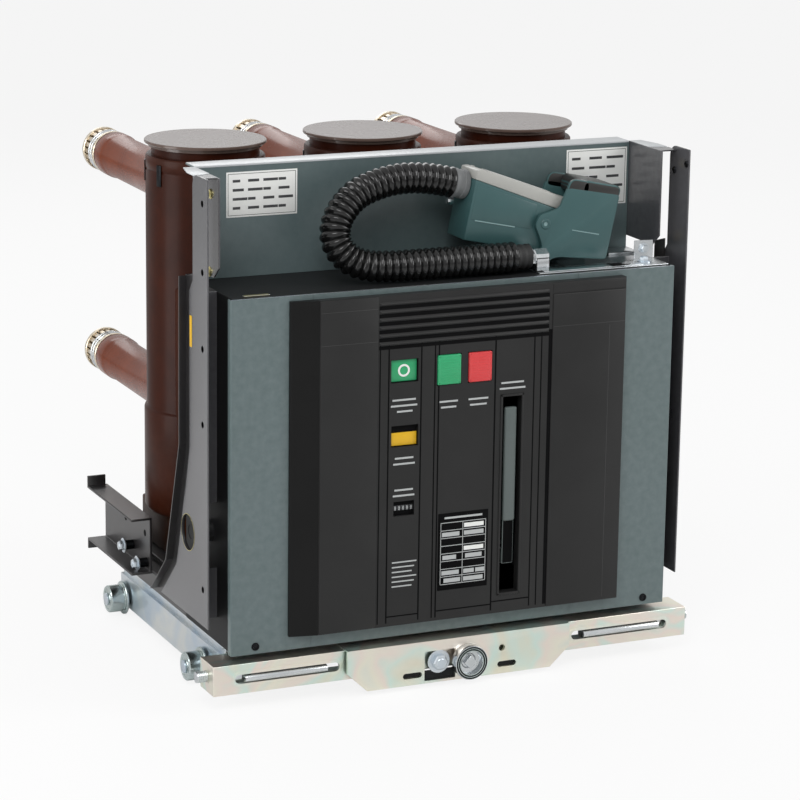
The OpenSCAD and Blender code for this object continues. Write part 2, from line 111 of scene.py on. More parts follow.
def newMaterial(name, colour, rough, metal=0.0):
    m = bpy.data.materials.new(name)
    m.use_nodes = True
    t = m.node_tree
    shader = t.nodes["Principled BSDF"]
    shader.inputs["Base Color"].default_value = toLinear(colour)
    shader.inputs["Roughness"].default_value = rough
    shader.inputs["Metallic"].default_value = metal
    where = addNode(t, "ShaderNodeTexCoord").outputs["Object"]
    return m, t, shader, where


def edgeWear(t, colour, worn, where, amount=0.5):
    # pale rubbed edges: convex places, broken up by a fine noise
    edge = addNode(t, "ShaderNodeNewGeometry").outputs["Pointiness"]
    grain = addNode(t, "ShaderNodeTexNoise", {"Scale": 1 / (9 * mm), "Detail": 4}, {"Vector": where})
    rim = addNode(t, "ShaderNodeMapRange", {"From Min": 0.53, "From Max": 0.62}, {"Value": edge})
    mask = addNode(t, "ShaderNodeMath", {"operation": "MULTIPLY", "in1": amount},
                   {"in0": rim.outputs["Result"]})
    mask = addNode(t, "ShaderNodeMath", {"operation": "MULTIPLY"},
                   {"in0": mask.outputs[0], "in1": grain.outputs["Fac"]})
    mix = addNode(t, "ShaderNodeMix", {"data_type": "RGBA"})
    t.links.new(mask.outputs[0], mix.inputs["Factor"])
    t.links.new(colour, mix.inputs["A"])
    mix.inputs["B"].default_value = toLinear(worn)
    return mix.outputs["Result"]


def joinSurface(t, s, colour, gloss, pattern, relief, strength, depth):
    # colour, a gloss that follows the pattern between its two values, and fine relief in mm
    rough = addNode(t, "ShaderNodeMapRange", {"To Min": gloss[0], "To Max": gloss[1]}, {"Value": pattern})
    bumps = addNode(t, "ShaderNodeBump", {"Strength": strength, "Distance": depth * mm}, {"Height": relief})
    for socket, output in (("Base Color", colour), ("Roughness", rough.outputs["Result"]),
                           ("Normal", bumps.outputs["Normal"])):
        t.links.new(output, s.inputs[socket])


def clearZinc():
    # blue-bright zinc on rolled steel: cool silver, soft cloudy drifts of blue and straw, fine rolling lines
    m, t, s, where = newMaterial("blueBrightZinc", "#b9c3cc", 0.3, 1.0)
    cloud = addNode(t, "ShaderNodeTexNoise", {"Scale": 1 / (70 * mm), "Detail": 3, "Distortion": 0.6},
                    {"Vector": where})
    tint = addNode(t, "ShaderNodeValToRGB", {"stops": [(0.38, "#c9d5e0"), (0.66, "#e2e4e2")]},
                   {"Fac": cloud.outputs["Fac"]})
    lines = addNode(t, "ShaderNodeMapping", {"Scale": (60, 1, 60)}, {"Vector": where})
    roll = addNode(t, "ShaderNodeTexNoise", {"Scale": 1 / (40 * mm), "Detail": 2},
                   {"Vector": lines.outputs[0]})
    joinSurface(t, s, edgeWear(t, tint.outputs["Color"], "#eef1f4", where), (0.22, 0.42),
                roll.outputs["Fac"], roll.outputs["Fac"], 0.15, 0.2)
    return m


def yellowZinc():
    # yellow-passivated zinc: pale straw with iridescent pink and green drifts and a greyer rubbed middle
    m, t, s, where = newMaterial("yellowPassivatedZinc", "#e4e2d2", 0.3, 1.0)
    drift = addNode(t, "ShaderNodeTexNoise", {"Scale": 1 / (110 * mm), "Detail": 2, "Distortion": 1.2},
                    {"Vector": where})
    tint = addNode(t, "ShaderNodeValToRGB",
                   {"stops": [(0.3, "#dfe6df"), (0.42, "#efebdb"), (0.5, "#efe4da"), (0.58, "#d9ebe2"),
                              (0.72, "#e8e3cf")]}, {"Fac": drift.outputs["Fac"]})
    scuff = addNode(t, "ShaderNodeTexNoise", {"Scale": 1 / (14 * mm), "Detail": 5, "Roughness": 0.7},
                    {"Vector": where})
    joinSurface(t, s, edgeWear(t, tint.outputs["Color"], "#f4f0e2", where), (0.24, 0.46),
                scuff.outputs["Fac"], scuff.outputs["Fac"], 0.1, 0.2)
    return m


def coatedSteel(name, colour, shade, rough, worn, peel=2.2, sheen=0.12):
    # powder coat: an even colour with a fine orange peel, whose bumps catch light as small soft glints
    m, t, s, where = newMaterial(name, colour, rough)
    s.inputs["Coat Weight"].default_value = sheen
    s.inputs["Coat Roughness"].default_value = 0.25
    broad = addNode(t, "ShaderNodeTexNoise", {"Scale": 1 / (120 * mm), "Detail": 2}, {"Vector": where})
    tint = addNode(t, "ShaderNodeValToRGB", {"stops": [(0.35, colour), (0.65, shade)]},
                   {"Fac": broad.outputs["Fac"]})
    skin = addNode(t, "ShaderNodeTexNoise", {"Scale": 1 / (peel * mm), "Detail": 2}, {"Vector": where})
    joinSurface(t, s, edgeWear(t, tint.outputs["Color"], worn, where, 0.35), (rough - 0.01, rough + 0.015),
                skin.outputs["Fac"], skin.outputs["Fac"], 0.025, 0.05)
    return m


def mouldedPlastic(name, colour, shade, rough, grain=1.2, relief=0.22):
    # injection-moulded plastic: deep even colour, a spark-eroded grain that dulls the gloss, faint marks
    m, t, s, where = newMaterial(name, colour, rough)
    broad = addNode(t, "ShaderNodeTexNoise", {"Scale": 1 / (60 * mm), "Detail": 4}, {"Vector": where})
    tint = addNode(t, "ShaderNodeValToRGB", {"stops": [(0.35, colour), (0.65, shade)]},
                   {"Fac": broad.outputs["Fac"]})
    pores = addNode(t, "ShaderNodeTexVoronoi", {"Scale": 1 / (grain * mm)}, {"Vector": where})
    joinSurface(t, s, tint.outputs["Color"], (rough - 0.06, rough + 0.08),
                broad.outputs["Fac"], pores.outputs["Distance"], relief, 0.08)
    return m


def castResin(name, colour, shade, rough, coat=0.3):
    # cast epoxy: brown through and through, with slow darker drifts, pin-sized pits and a glassy skin
    m, t, s, where = newMaterial(name, colour, rough)
    s.inputs["Coat Weight"].default_value = coat
    s.inputs["Coat Roughness"].default_value = 0.12
    s.inputs["Specular IOR Level"].default_value = 0.3
    drift = addNode(t, "ShaderNodeTexNoise", {"Scale": 1 / (45 * mm), "Detail": 5, "Roughness": 0.6},
                    {"Vector": where})
    tint = addNode(t, "ShaderNodeValToRGB", {"stops": [(0.3, colour), (0.7, shade)]},
                   {"Fac": drift.outputs["Fac"]})
    pit = addNode(t, "ShaderNodeTexNoise", {"Scale": 1 / (3 * mm), "Detail": 3}, {"Vector": where})
    joinSurface(t, s, edgeWear(t, tint.outputs["Color"], "#8a6a5c", where, 0.3), (rough - 0.05, rough + 0.1),
                drift.outputs["Fac"], pit.outputs["Fac"], 0.05, 0.1)
    return m


def metalPart(name, colour, shade, rough, grain=6):
    # turned or drawn metal: bright with a fine grain and slightly duller stains
    m, t, s, where = newMaterial(name, colour, rough, 1.0)
    stain = addNode(t, "ShaderNodeTexNoise", {"Scale": 1 / (grain * mm), "Detail": 4}, {"Vector": where})
    tint = addNode(t, "ShaderNodeValToRGB", {"stops": [(0.35, colour), (0.65, shade)]},
                   {"Fac": stain.outputs["Fac"]})
    joinSurface(t, s, tint.outputs["Color"], (rough - 0.08, rough + 0.12),
                stain.outputs["Fac"], stain.outputs["Fac"], 0.08, 0.1)
    return m


def printedFilm(name, colour, rough=0.5):
    # printed polyester film: an even colour under a thin satin film
    m, t, s, where = newMaterial(name, colour, rough)
    fleck = addNode(t, "ShaderNodeTexNoise", {"Scale": 1 / (20 * mm), "Detail": 3}, {"Vector": where})
    gloss = addNode(t, "ShaderNodeMapRange", {"To Min": rough - 0.1, "To Max": rough + 0.1},
                    {"Value": fleck.outputs["Fac"]})
    t.links.new(gloss.outputs["Result"], s.inputs["Roughness"])
    return m


finish = {
    "zinc": clearZinc(),
    "straw": yellowZinc(),
    "greyPaint": coatedSteel("greyGreenPowderCoat", "#536264", "#506061", 0.36, "#93a0a0"),
    # the grey paint lightened, a painted highlight for the shroud's top edge
    "highlightPaint": coatedSteel("paintedHighlightEdge", "#c3c7c9", "#b9bdc0", 0.35, "#dfe2e3"),
    "sidePaint": coatedSteel("graphitePowderCoat", "#48484b", "#414144", 0.26, "#98989c", sheen=0.55),
    "blackPaint": coatedSteel("blackPowderCoat", "#1b1a1b", "#211f20", 0.36, "#55504e", sheen=0.3),
    "darkPaint": coatedSteel("darkMechanismPaint", "#141516", "#1b1c1d", 0.5, "#3a3b3c", sheen=0.0),
    "fascia": mouldedPlastic("blackMouldedAbs", "#1d1d1d", "#212121", 0.42),
    # the fascia's black darkened, painted shade for the sloping side
    "fasciaSlope": mouldedPlastic("blackMouldedAbsSlope", "#0d0d0d", "#101010", 0.4),
    # the fascia's black lightened, a painted highlight for ribs, rims and embossed lines
    "fasciaRib": mouldedPlastic("blackRibbedAbs", "#2c2c2c", "#313131", 0.4),
    # dark strips and sheets of painted shade for grooves, holes, slots and recesses
    "shadeGroove": mouldedPlastic("shadowGroove", "#0b0b0c", "#0e0e0f", 0.6),
    "green": mouldedPlastic("greenPushButton", "#2ea36a", "#35ab73", 0.25, relief=0.05),
    "red": mouldedPlastic("redPushButton", "#d2373a", "#dc4547", 0.25, relief=0.05),
    "lever": coatedSteel("leverPaint", "#5c6664", "#57605f", 0.38, "#8b9492"),
    "resin": castResin("brownCastResin", "#3b180b", "#2c1108", 0.3, 0.02),
    "resinFoot": castResin("brownFootResin", "#43230f", "#331a0c", 0.4, 0.03),
    "cap": castResin("greyBrownCap", "#5f4f48", "#584841", 0.24, 0.5),
    "sleeve": castResin("redBrownSleeve", "#78391f", "#672f19", 0.24, 0.14),
    "tulip": metalPart("silveredCopper", "#e2d8c8", "#cfc1aa", 0.26),
    "steel": metalPart("brightSteel", "#d9dcde", "#cdd1d3", 0.2, 30),
    "turned": metalPart("zincTurnedSteel", "#c4cecd", "#b4c0be", 0.2, 30),
    "brass": metalPart("yellowZincScrew", "#d8cf9a", "#c5b878", 0.3, 2),
    "darkBolt": metalPart("blackenedBolt", "#2a2b2d", "#222325", 0.35, 3),
    "conduit": mouldedPlastic("blackPolyamide", "#0f0f0f", "#151515", 0.15, 2.0, 0.02),
    "plug": mouldedPlastic("tealGreyPolycarbonate", "#3c5d5e", "#385859", 0.34),
    "plugDark": mouldedPlastic("darkGripPolycarbonate", "#2b2a29", "#333231", 0.3),
    # the plug's teal lightened, a painted highlight for folds and edges
    "plugHighlight": mouldedPlastic("palePlugRidge", "#86a3a4", "#7d9a9b", 0.3),
    "lid": mouldedPlastic("paleGreyLid", "#b2b2ad", "#a9a9a4", 0.34),
    "clamp": mouldedPlastic("greyCableClamp", "#77797a", "#6f7172", 0.5),
    "card": printedFilm("whiteLabelFilm", "#f1f2ef"),
    "ink": printedFilm("darkLabelInk", "#3c3d3f"),
    "silverInk": printedFilm("silverPanelInk", "#b9bcbc"),
    "yellow": printedFilm("yellowFlag", "#e8b61c", 0.4),
    "rubber": mouldedPlastic("blackRubber", "#151515", "#1b1b1b", 0.6),
}
for look, specular in (("shadeGroove", 0.05), ("fascia", 0.35), ("fasciaSlope", 0.2), ("fasciaRib", 0.5),
                       ("darkPaint", 0.2),
                       ("resin", 0.1), ("resinFoot", 0.1), ("sleeve", 0.16)):
    finish[look].node_tree.nodes["Principled BSDF"].inputs["Specular IOR Level"].default_value = specular
print("materials made:", len(finish))


# mesh helpers: every piece is gathered in a bmesh in millimetres and then placed
class Piece:
    def __init__(self, name, body, look):
        self.name, self.body, self.bm = name, body, bmesh.new()
        self.looks = [look]

    def lookIndex(self, look):
        if look not in self.looks:
            self.looks.append(look)
        return self.looks.index(look)

    def paint(self, faces, look):
        index = self.lookIndex(look) if look else 0
        for f in faces:
            f.material_index = index

    def block(self, lo, hi, bevel=0.8, look=None, turn=None, segments=2):
        made = bmesh.ops.create_cube(self.bm, size=1)["verts"]
        size = [hi[i] - lo[i] for i in range(3)]
        middle = Vector([(hi[i] + lo[i]) / 2 for i in range(3)])
        for v in made:
            v.co = Vector([v.co[i] * size[i] for i in range(3)]) + middle
        faces = list({f for v in made for f in v.link_faces})
        self.paint(faces, look)
        edges = list({e for v in made for e in v.link_edges})
        width = min(bevel, min(size) * 0.45)
        if width > 0.05:
            made = bmesh.ops.bevel(self.bm, geom=edges, offset=width, segments=segments, affect="EDGES",
                                   profile=0.5)["verts"]
        if turn:
            bmesh.ops.transform(self.bm, matrix=turn, verts=list(self.connected(made)))

    def connected(self, verts):
        seen, stack = set(), [v for v in verts if v.is_valid]
        while stack:
            v = stack.pop()
            if v in seen:
                continue
            seen.add(v)
            stack.extend(e.other_vert(v) for e in v.link_edges if e.other_vert(v) not in seen)
        return seen

    def lathe(self, profile, at, axis="z", sides=64, look=None):
        # profile is a list of (radius, height) points, turned round the axis through at
        turn = {"z": Matrix.Identity(3), "y": Matrix.Rotation(-math.pi / 2, 3, "X"),
                "x": Matrix.Rotation(math.pi / 2, 3, "Y")}[axis]
        rings = []
        for r, h in profile:
            if r < 0.01:
                rings.append([self.bm.verts.new(Vector(at) + turn @ Vector((0, 0, h)))])
                continue
            angles = [2 * math.pi * k / sides for k in range(sides)]
            spots = [Vector((r * math.cos(a), r * math.sin(a), h)) for a in angles]
            rings.append([self.bm.verts.new(Vector(at) + turn @ spot) for spot in spots])
        faces = []
        for low, high in zip(rings, rings[1:]):
            for k in range(sides):
                n = (k + 1) % sides
                corners = [low[k % len(low)], low[n % len(low)], high[n % len(high)], high[k % len(high)]]
                corners = [c for i, c in enumerate(corners) if c not in corners[:i]]
                if len(corners) > 2:
                    faces.append(self.bm.faces.new(corners))
        self.paint(faces, look)

    def prism(self, outline, axis, start, length, bevel=0.0, look=None, turn=None):
        # outline points lie in the plane square to the axis; it is drawn out from start by length
        def place(a, b, c):
            return {"x": (c, a, b), "y": (a, c, b), "z": (a, b, c)}[axis]
        base = [self.bm.verts.new(place(a, b, start)) for a, b in outline]
        face = self.bm.faces.new(base)
        out = bmesh.ops.extrude_face_region(self.bm, geom=[face])["geom"]
        moved = [g for g in out if isinstance(g, bmesh.types.BMVert)]
        bmesh.ops.translate(self.bm, vec=Vector(place(0, 0, length)), verts=moved)
        verts = self.connected(base)
        faces = list({f for v in verts for f in v.link_faces})
        bmesh.ops.recalc_face_normals(self.bm, faces=faces)
        self.paint(faces, look)
        if bevel:
            edges = list({e for v in verts for e in v.link_edges})
            verts = self.connected(bmesh.ops.bevel(self.bm, geom=edges, offset=bevel, segments=2,
                                                   affect="EDGES", profile=0.5)["verts"])
        if turn:
            bmesh.ops.transform(self.bm, matrix=turn, verts=list(verts))

    def done(self, smooth=35, replaces=(), slot=None, turn=None):
        bmesh.ops.recalc_face_normals(self.bm, faces=self.bm.faces)
        for v in self.bm.verts:
            co = turn @ v.co if turn else v.co
            v.co = pt(*co)
        mesh = bpy.data.meshes.new(self.name)
        self.bm.to_mesh(mesh)
        self.bm.free()
        for look in self.looks:
            mesh.materials.append(finish[look])
        obj = bpy.data.objects.new(self.name, mesh)
        bpy.context.collection.objects.link(obj)
        shadeByAngle(obj, smooth)
        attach(obj, self.body)
        if replaces:
            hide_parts(*replaces)
        return obj


def shadeByAngle(obj, degrees):
    mesh = obj.data
    for p in mesh.polygons:
        p.use_smooth = True
    mesh.set_sharp_from_angle(angle=math.radians(degrees))


def softened(node, look, width=0.7, smooth=32):
    # a copy of a CAD piece with its sharp edges broken, which then stands for it
    source = frame["nodes"][node]
    bm = bmesh.new()
    bm.from_mesh(source.data)
    bmesh.ops.remove_doubles(bm, verts=bm.verts, dist=0.00002)
    bmesh.ops.dissolve_limit(bm, angle_limit=math.radians(1), verts=bm.verts, edges=bm.edges)
    mesh = bpy.data.meshes.new(node + "Finished")
    bm.to_mesh(mesh)
    bm.free()
    mesh.materials.clear()
    mesh.materials.append(finish[look])
    obj = bpy.data.objects.new(mesh.name, mesh)
    bpy.context.collection.objects.link(obj)
    edge = obj.modifiers.new("edge", "BEVEL")
    edge.width = width * mm
    edge.segments = 2
    edge.limit_method = "ANGLE"
    edge.angle_limit = math.radians(40)
    bpy.context.view_layer.update()
    shaped = bpy.data.meshes.new_from_object(obj.evaluated_get(bpy.context.evaluated_depsgraph_get()))
    obj.modifiers.clear()
    obj.data = shaped
    shadeByAngle(obj, smooth)
    for p in shaped.polygons:
        # a flat sheet stays flat up to its rounded edge
        if p.area > 400 * mm * mm:
            p.use_smooth = False
    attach(obj, bodyOf[node])
    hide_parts(node)


bodyOf = {n: b for b, nodes in frame["record"]["behaviour"]["bodies"].items() for n in nodes}
slotOf = {s["node"]: s["material_slot"] for s in frame["record"]["subparts"]}


def mirrored(points):
    return [(-x, y) for x, y in reversed(points)]


# fasteners, gathered in one piece for each body and finish
hardware = {}


def kit(body, look):
    key = body + look[0].upper() + look[1:] + "Fasteners"
    if key not in hardware:
        hardware[key] = Piece(key, body, look)
    return hardware[key]


def hexBolt(body, look, at, axis, sign, across=13, height=6):
    p = kit(body, look)
    r, rise, h = across / math.sqrt(3), 1.2 * sign, height * sign
    # washer, six-sided head, and the head's turned top
    p.lathe([(0, 0), (across * 0.85, 0), (across * 0.85, rise), (across * 0.5, rise)], at, axis, 28)
    p.lathe([(r, rise), (r, rise + h * 0.8), (r * 0.86, rise + h), (0, rise + h)], at, axis, 6)
    p.lathe([(r * 0.55, rise + h), (r * 0.5, rise + h * 1.02 + 0.3 * sign),
             (0, rise + h * 1.02 + 0.3 * sign)],
            at, axis, 20)


def panScrew(body, look, at, axis, sign, r=5, height=2.6):
    p = kit(body, look)
    h = height * sign
    p.lathe([(r, 0), (r, h * 0.25), (r * 0.85, h * 0.75), (r * 0.5, h), (r * 0.42, h), (r * 0.36, h * 0.5),
             (0, h * 0.45)], at, axis, 28)


# poles
pole = {"pitch": 210, "y": 303, "upperR": 73.5, "lowerR": 76.5, "stepZ": 295, "footZ": 110, "footTop": 166,
        "grooveZ": 612, "top": 630, "capR": 75, "lowerArm": 282, "upperArm": 557, "armRoot": 385.5,
        "armEnd": 692, "tulip": 44, "sleeveR": 30}


def makePole(name, x):
    p = Piece(name + "Tube", "breaker", "resin")
    q = pole
    p.lathe([(0, q["footTop"] - 2), (q["lowerR"] - 3, q["footTop"] - 2), (q["lowerR"], q["footTop"] + 3),
             (q["lowerR"], q["stepZ"] - 2), (q["lowerR"] - 0.8, q["stepZ"]),
             (q["upperR"] + 0.6, q["stepZ"] + 1),
             (q["upperR"], q["stepZ"] + 2.5), (q["upperR"], q["grooveZ"] - 20),
             (q["upperR"] - 0.8, q["grooveZ"] - 19),
             (q["upperR"] - 0.8, q["grooveZ"] - 16), (q["upperR"], q["grooveZ"] - 15),
             (q["upperR"], q["grooveZ"] - 2), (q["upperR"] - 1.5, q["grooveZ"]),
             (q["upperR"] - 7, q["grooveZ"]),
             (q["upperR"] - 7, q["grooveZ"] + 10), (0, q["grooveZ"] + 10)], (x, q["y"], 0), "z", 96)
    for z in (q["lowerArm"], q["upperArm"]):
        p.lathe([(36, 60), (36, 79), (35, 82), (31.5, 82.4), (31.5, 82.4), (0, 82.4)], (x, q["y"], z), "y",
                64)
    # mounting foot at the front and its two ribs
    p.block((x - 45, 172, 175), (x + 45, 238, 471), 4)
    for side in (-1, 1):
        p.block((x + side * 52 - 5, 172.5, 190), (x + side * 52 + 5, 262, 456), 3)
    p.done(40, [name], "pole_resin")
    foot = Piece(name + "Foot", "breaker", "resinFoot")
    foot.block((x - 60, q["y"] - 68, q["footZ"] + 0.2), (x + 60, q["y"] + 72, q["footTop"]), 3)
    for side in (-1, 1):
        foot.block((x + side * 46 - 12, q["y"] - 66, q["footTop"] - 4),
                   (x + side * 46 + 12, q["y"] - 30, q["footTop"] + 9), 3)
    foot.done(40, slot="pole_resin")
    for dx in (-48, 48):
        hexBolt("breaker", "zinc", (x + dx, q["y"] + 62, q["footTop"]), "z", 1, 10, 5)
    # small black clip that holds the upper rim, on both sides
    clips = kit("breaker", "darkBolt")
    for a in (160, 200, 340, 20):
        turn = Matrix.Translation((x, q["y"], 0)) @ Matrix.Rotation(math.radians(a), 4, "Z")
        clips.block((q["upperR"] - 0.5, -4, 578), (q["upperR"] + 1.3, 4, 604), 0.5, turn=turn)


for poleName, sign in (("pole_left", -1), ("pole_middle", 0), ("pole_right", 1)):
    makePole(poleName, sign * pole["pitch"])

caps = Piece("poleCaps", "breaker", "cap")
for i in (-1, 0, 1):
    r, top = pole["capR"], pole["top"]
    caps.lathe([(0, top - 8), (r - 5, top - 8), (r - 5, top - 4), (r - 0.6, top - 4), (r, top - 3.2),
                (r, top - 0.8),
                (r - 0.8, top), (r - 20, top - 0.1), (0, top - 0.3)], (i * pole["pitch"], pole["y"], 0), "z",
               96)
caps.done(30, ["pole_caps"], "cap_resin")

for level, z in (("upper", pole["upperArm"]), ("lower", pole["lowerArm"])):
    arms = Piece(level + "ArmSleeves", "breaker", "sleeve")
    tulips = Piece(level + "TulipContacts", "breaker", "tulip")
    for i in (-1, 0, 1):
        x, r = i * pole["pitch"], pole["sleeveR"]
        a, b = pole["armRoot"], pole["armEnd"] - pole["tulip"]
        arms.lathe([(0, a + 0.2), (r - 3, a + 0.2), (r - 0.2, a + 3), (r, a + 14), (r - 1.4, a + 18),
                    (r - 2.2, b - 34),
                    (r - 1.0, b - 30), (r - 0.4, b - 26), (r - 0.4, b - 6), (r - 2.0, b - 1),
                    (r - 7, b - 0.3), (0, b - 0.3)],
                   (x, 0, z), "y", 64)
        # rear ring of the tulip: two end rings, a cage of fingers and two garter springs
        e = pole["armEnd"]
        for low, high, outer in ((b, b + 5, 29.3), (e - 6, e, 29.3)):
            tulips.lathe([(17.8, low + 0.4), (18.6, low), (outer - 0.8, low), (outer, low + 0.8),
                          (outer, high - 0.8),
                          (outer - 0.8, high), (18.6, high), (17.8, high - 0.4), (17.8, low + 0.4)],
                         (x, 0, z), "y", 48)
        fingers = 20
        for k in range(fingers):
            turn = (Matrix.Translation((x, 0, z)) @ Matrix.Rotation(2 * math.pi * k / fingers, 4, "Y"))
            tulips.block((-3.2, b + 3, 18.2), (3.2, e - 3, 27.2), 0.8, turn=turn, segments=1)
        for y in (b + 13, b + 21):
            ring = [(27 + 1.7 * math.cos(t),
                     y + 1.7 * math.sin(t)) for t in [2 * math.pi * k / 10 for k in range(11)]]
            tulips.lathe(ring, (x, 0, z), "y", 48, "steel")
        # dark disc inside the finger cage, painted shade in the tulip's bore
        tulips.lathe([(17.4, b + 4), (17.4, b + 5), (0, b + 5)], (x, 0, z), "y", 40, "darkBolt")
    arms.done(40, [level + "_arms"], "sleeve_resin")
    tulips.done(40, [level + "_tulips"], "contact_metal")

posts = Piece("ribbedPosts", "breaker", "resin")
for i in (-1, 0, 1):
    x, y, base = i * pole["pitch"], pole["y"] + 122, 160
    line = [(0, base - 2), (25, base - 2), (25, base + 6)]
    for k in range(3):
        z = base + 12 + k * 22
        line += [(25, z), (30, z + 3), (33.4, z + 5.5), (34, z + 7.5), (33.2, z + 9), (26.5, z + 11)]
    top = pole["lowerArm"] - pole["sleeveR"] - 0.5
    line += [(25, top - 2), (24, top), (0, top)]
    posts.lathe(line, (x, y, 0), "z", 56)
    posts.block((x - 28, y - 28, 110.3), (x + 28, y + 28, base), 4, "resinFoot")
posts.done(40, ["post_insulators"], "pole_resin")
print("poles, arms and posts made")


# plain plates and channels, with broken edges
for node, look, width in (
        ("deck", "zinc", 0.6), ("pole_bearers", "blackPaint", 1.5), ("pole_plate", "blackPaint", 1.0),
        ("side_plate_left", "sidePaint", 0.5), ("side_plate_right", "sidePaint", 0.5),
        ("gussets", "blackPaint", 0.45),
        ("shroud_wall", "greyPaint", 0.5), ("shroud_wings", "sidePaint", 0.5), ("housing", "darkPaint", 0.8),
        ("bracket_left", "blackPaint", 0.7), ("bracket_right", "blackPaint", 0.7),
        ("top_plate", "steel", 0.4),
        ("beam_arms", "zinc", 0.5), ("screw_nut", "turned", 1.0), ("socket_ring", "steel", 1.2),
        ("racking_screw", "steel", 0.6), ("lever_shaft", "steel", 0.8)):
    softened(node, look, width)
print("plates softened")

plates = {"sideX": 313, "wallY": 133}

# folded edge along the shroud's top, with a corner at each side, in a paler paint as a painted highlight
# where the grey flange catches the light
trim = Piece("shroudTopEdge", "breaker", "highlightPaint")
trim.block((-286.5, 132.6, 624.2), (286.5, 164.5, 626.5), 0.5)
for side in (-1, 1):
    corner = [(side * x, y) for x,
              y in ((287.5, 132), (287.5, 84), (300, 77.5), (309.5, 77.5), (309.5, 100), (302, 132))]
    trim.prism(corner, "z", 625.6, 1.0, 0.2)
trim.done(30, slot="cover_paint")

for side in (-1, 1):
    # screws that hold the wings and the side plates
    for z, y in ((604, 76), (512, 80)):
        panScrew("breaker", "brass", (side * 289, y, z), "x", side, 6, 2.4)
    for z in (600, 520, 430, 340, 140):
        panScrew("breaker", "darkBolt", (side * plates["sideX"], 40, z), "x", side, 4, 0)
    for y, z in ((30, 612), (60, 600)):
        panScrew("breaker", "darkBolt", (side * 311, y, z), "x", -side, 4.5, 2)
    # the boss behind the round hole
    boss = kit("breaker", "darkPaint")
    boss.lathe([(14, 0), (13.5, side * 1.2), (9, side * 1.4), (8.5, side * 0.6), (0, side * 0.6)],
               (side * 308, 90, 197), "x", 40)
    rim = kit("breaker", "brass")
    rim.lathe([(21.9, 0), (22.6, side * 0.25), (21.9, side * 0.3), (21.9, 0)],
              (side * plates["sideX"], 90, 197), "x", 48)
    # guide channel bolts on spacers, and its empty holes, drawn as dark discs of painted shade
    for y, z in ((313, 119), (262, 110)):
        spacer = kit("breaker", "darkBolt")
        spacer.lathe([(6, 0), (6, side * 12), (0, side * 12)], (side * 304, y, z), "x", 28)
        hexBolt("breaker", "zinc", (side * 316, y, z), "x", side, 11, 6)
    for y, z in ((340, 147), (268, 146)):
        hole = kit("breaker", "shadeGroove")
        hole.lathe([(4.2, 0), (4.2, side * 0.15), (0, side * 0.15)], (side * 304, y, z), "x", 24)
    # holes in the rails, drawn as dark discs of painted shade
    for y, z in ((128, 22), (104, 20)):
        hole = kit("breaker", "shadeGroove")
        hole.lathe([(3, 0), (3, side * 0.15), (0, side * 0.15)], (side * 284, y, z), "x", 20)

# yellow tag on the left gusset
tag = Piece("inspectionTag", "breaker", "yellow")
tag.block((-313.4, 74.5, 425), (-313.05, 81.5, 462), 0.1)
tag.done(30)
print("plate details made")


# front cover: folded sheet with rounded front edges
cover = {"half": 289, "y": 11, "t": 1.5, "z": 63, "top": 491, "bend": 1.9, "innerBend": 0.4}


def makeCover(c):
    p = Piece("frontCoverSheet", "breaker", "greyPaint")
    half, y, t = c["half"], c["y"], c["t"]
    bend, innerBend = c["bend"], c["innerBend"]
    turns = [math.radians(k * 15) for k in range(7)]
    curve = [(half - bend + bend * math.sin(a), y + bend - bend * math.cos(a)) for a in turns]
    inner = [(half - bend + innerBend * math.sin(a), y + bend - innerBend * math.cos(a)) for a in turns]
    right = curve + [(half, y + 10), (half - 1.5, y + 10)] + inner[::-1]
    # each side strip is one folded outline; plain strips close the sheet above and below the fascia
    for outline in (right + [(157, y + t), (157, y)], mirrored(right + [(187, y + t), (187, y)])):
        p.prism(outline, "z", c["z"], c["top"] - c["z"], 0.0)
    for low, high in ((c["z"], 95), (455, c["top"])):
        p.block((-187.5, y, low), (157.5, y + t, high), 0.0)
    # folded top and bottom edges
    p.block((-half + 1, y + 0.2, c["top"] - 1.5), (half - 1, y + 1.6, c["top"]), 0.5)
    p.done(30, ["front_cover"], "cover_paint")
    edge = Piece("coverTopLip", "breaker", "zinc")
    edge.block((-half + 1, y + 1.5, c["top"] - 0.5), (half - 1, y + 4, c["top"] + 0.1), 0.2)
    edge.done(30)


makeCover(cover)
for x in (-258, 260):
    dark = kit("breaker", "darkBolt")
    dark.lathe([(5, 0), (4.6, -1.2), (3, -1.4), (2.6, -0.6), (0, -0.5)], (x, 11, 72), "y", 24)
# bright lid strips, and a dark slot of painted shade, on top of the housing beside the plug
lidParts = Piece("topLidStrips", "breaker", "steel")
lidParts.block((118, 24, 492.6), (252, 46, 493.6), 0.3)
lidParts.block((240, 90, 492.6), (282, 126, 495), 0.4)
lidParts.block((-268, 24, 491.1), (-236, 30, 492.2), 0.3, "brass")
lidParts.block((210, 22, 493.5), (228, 40, 494.0), 0.2, "shadeGroove")
lidParts.done(30)
hexBolt("breaker", "zinc", (262, 40, 492.5), "z", 1, 10, 5)
hexBolt("breaker", "zinc", (272, 60.2, 505), "y", -1, 8, 3)
print("cover made")


# fascia
panel = {"half": 217, "bevel": 34, "y": -1, "back": 11, "z": 80, "top": 485, "ribLeft": -108,
         "ribRight": 114,
         "ribs": 5, "ribTop": 478, "ribPitch": 9.6, "ribHeight": 5.2,
         "closeX": -17, "openX": 23.5, "buttonW": 30, "buttonH": 36, "buttonZ": 390, "leverX": 67,
         "slotHalf": 12.5,
         "slotZ": 105, "slotTop": 350}


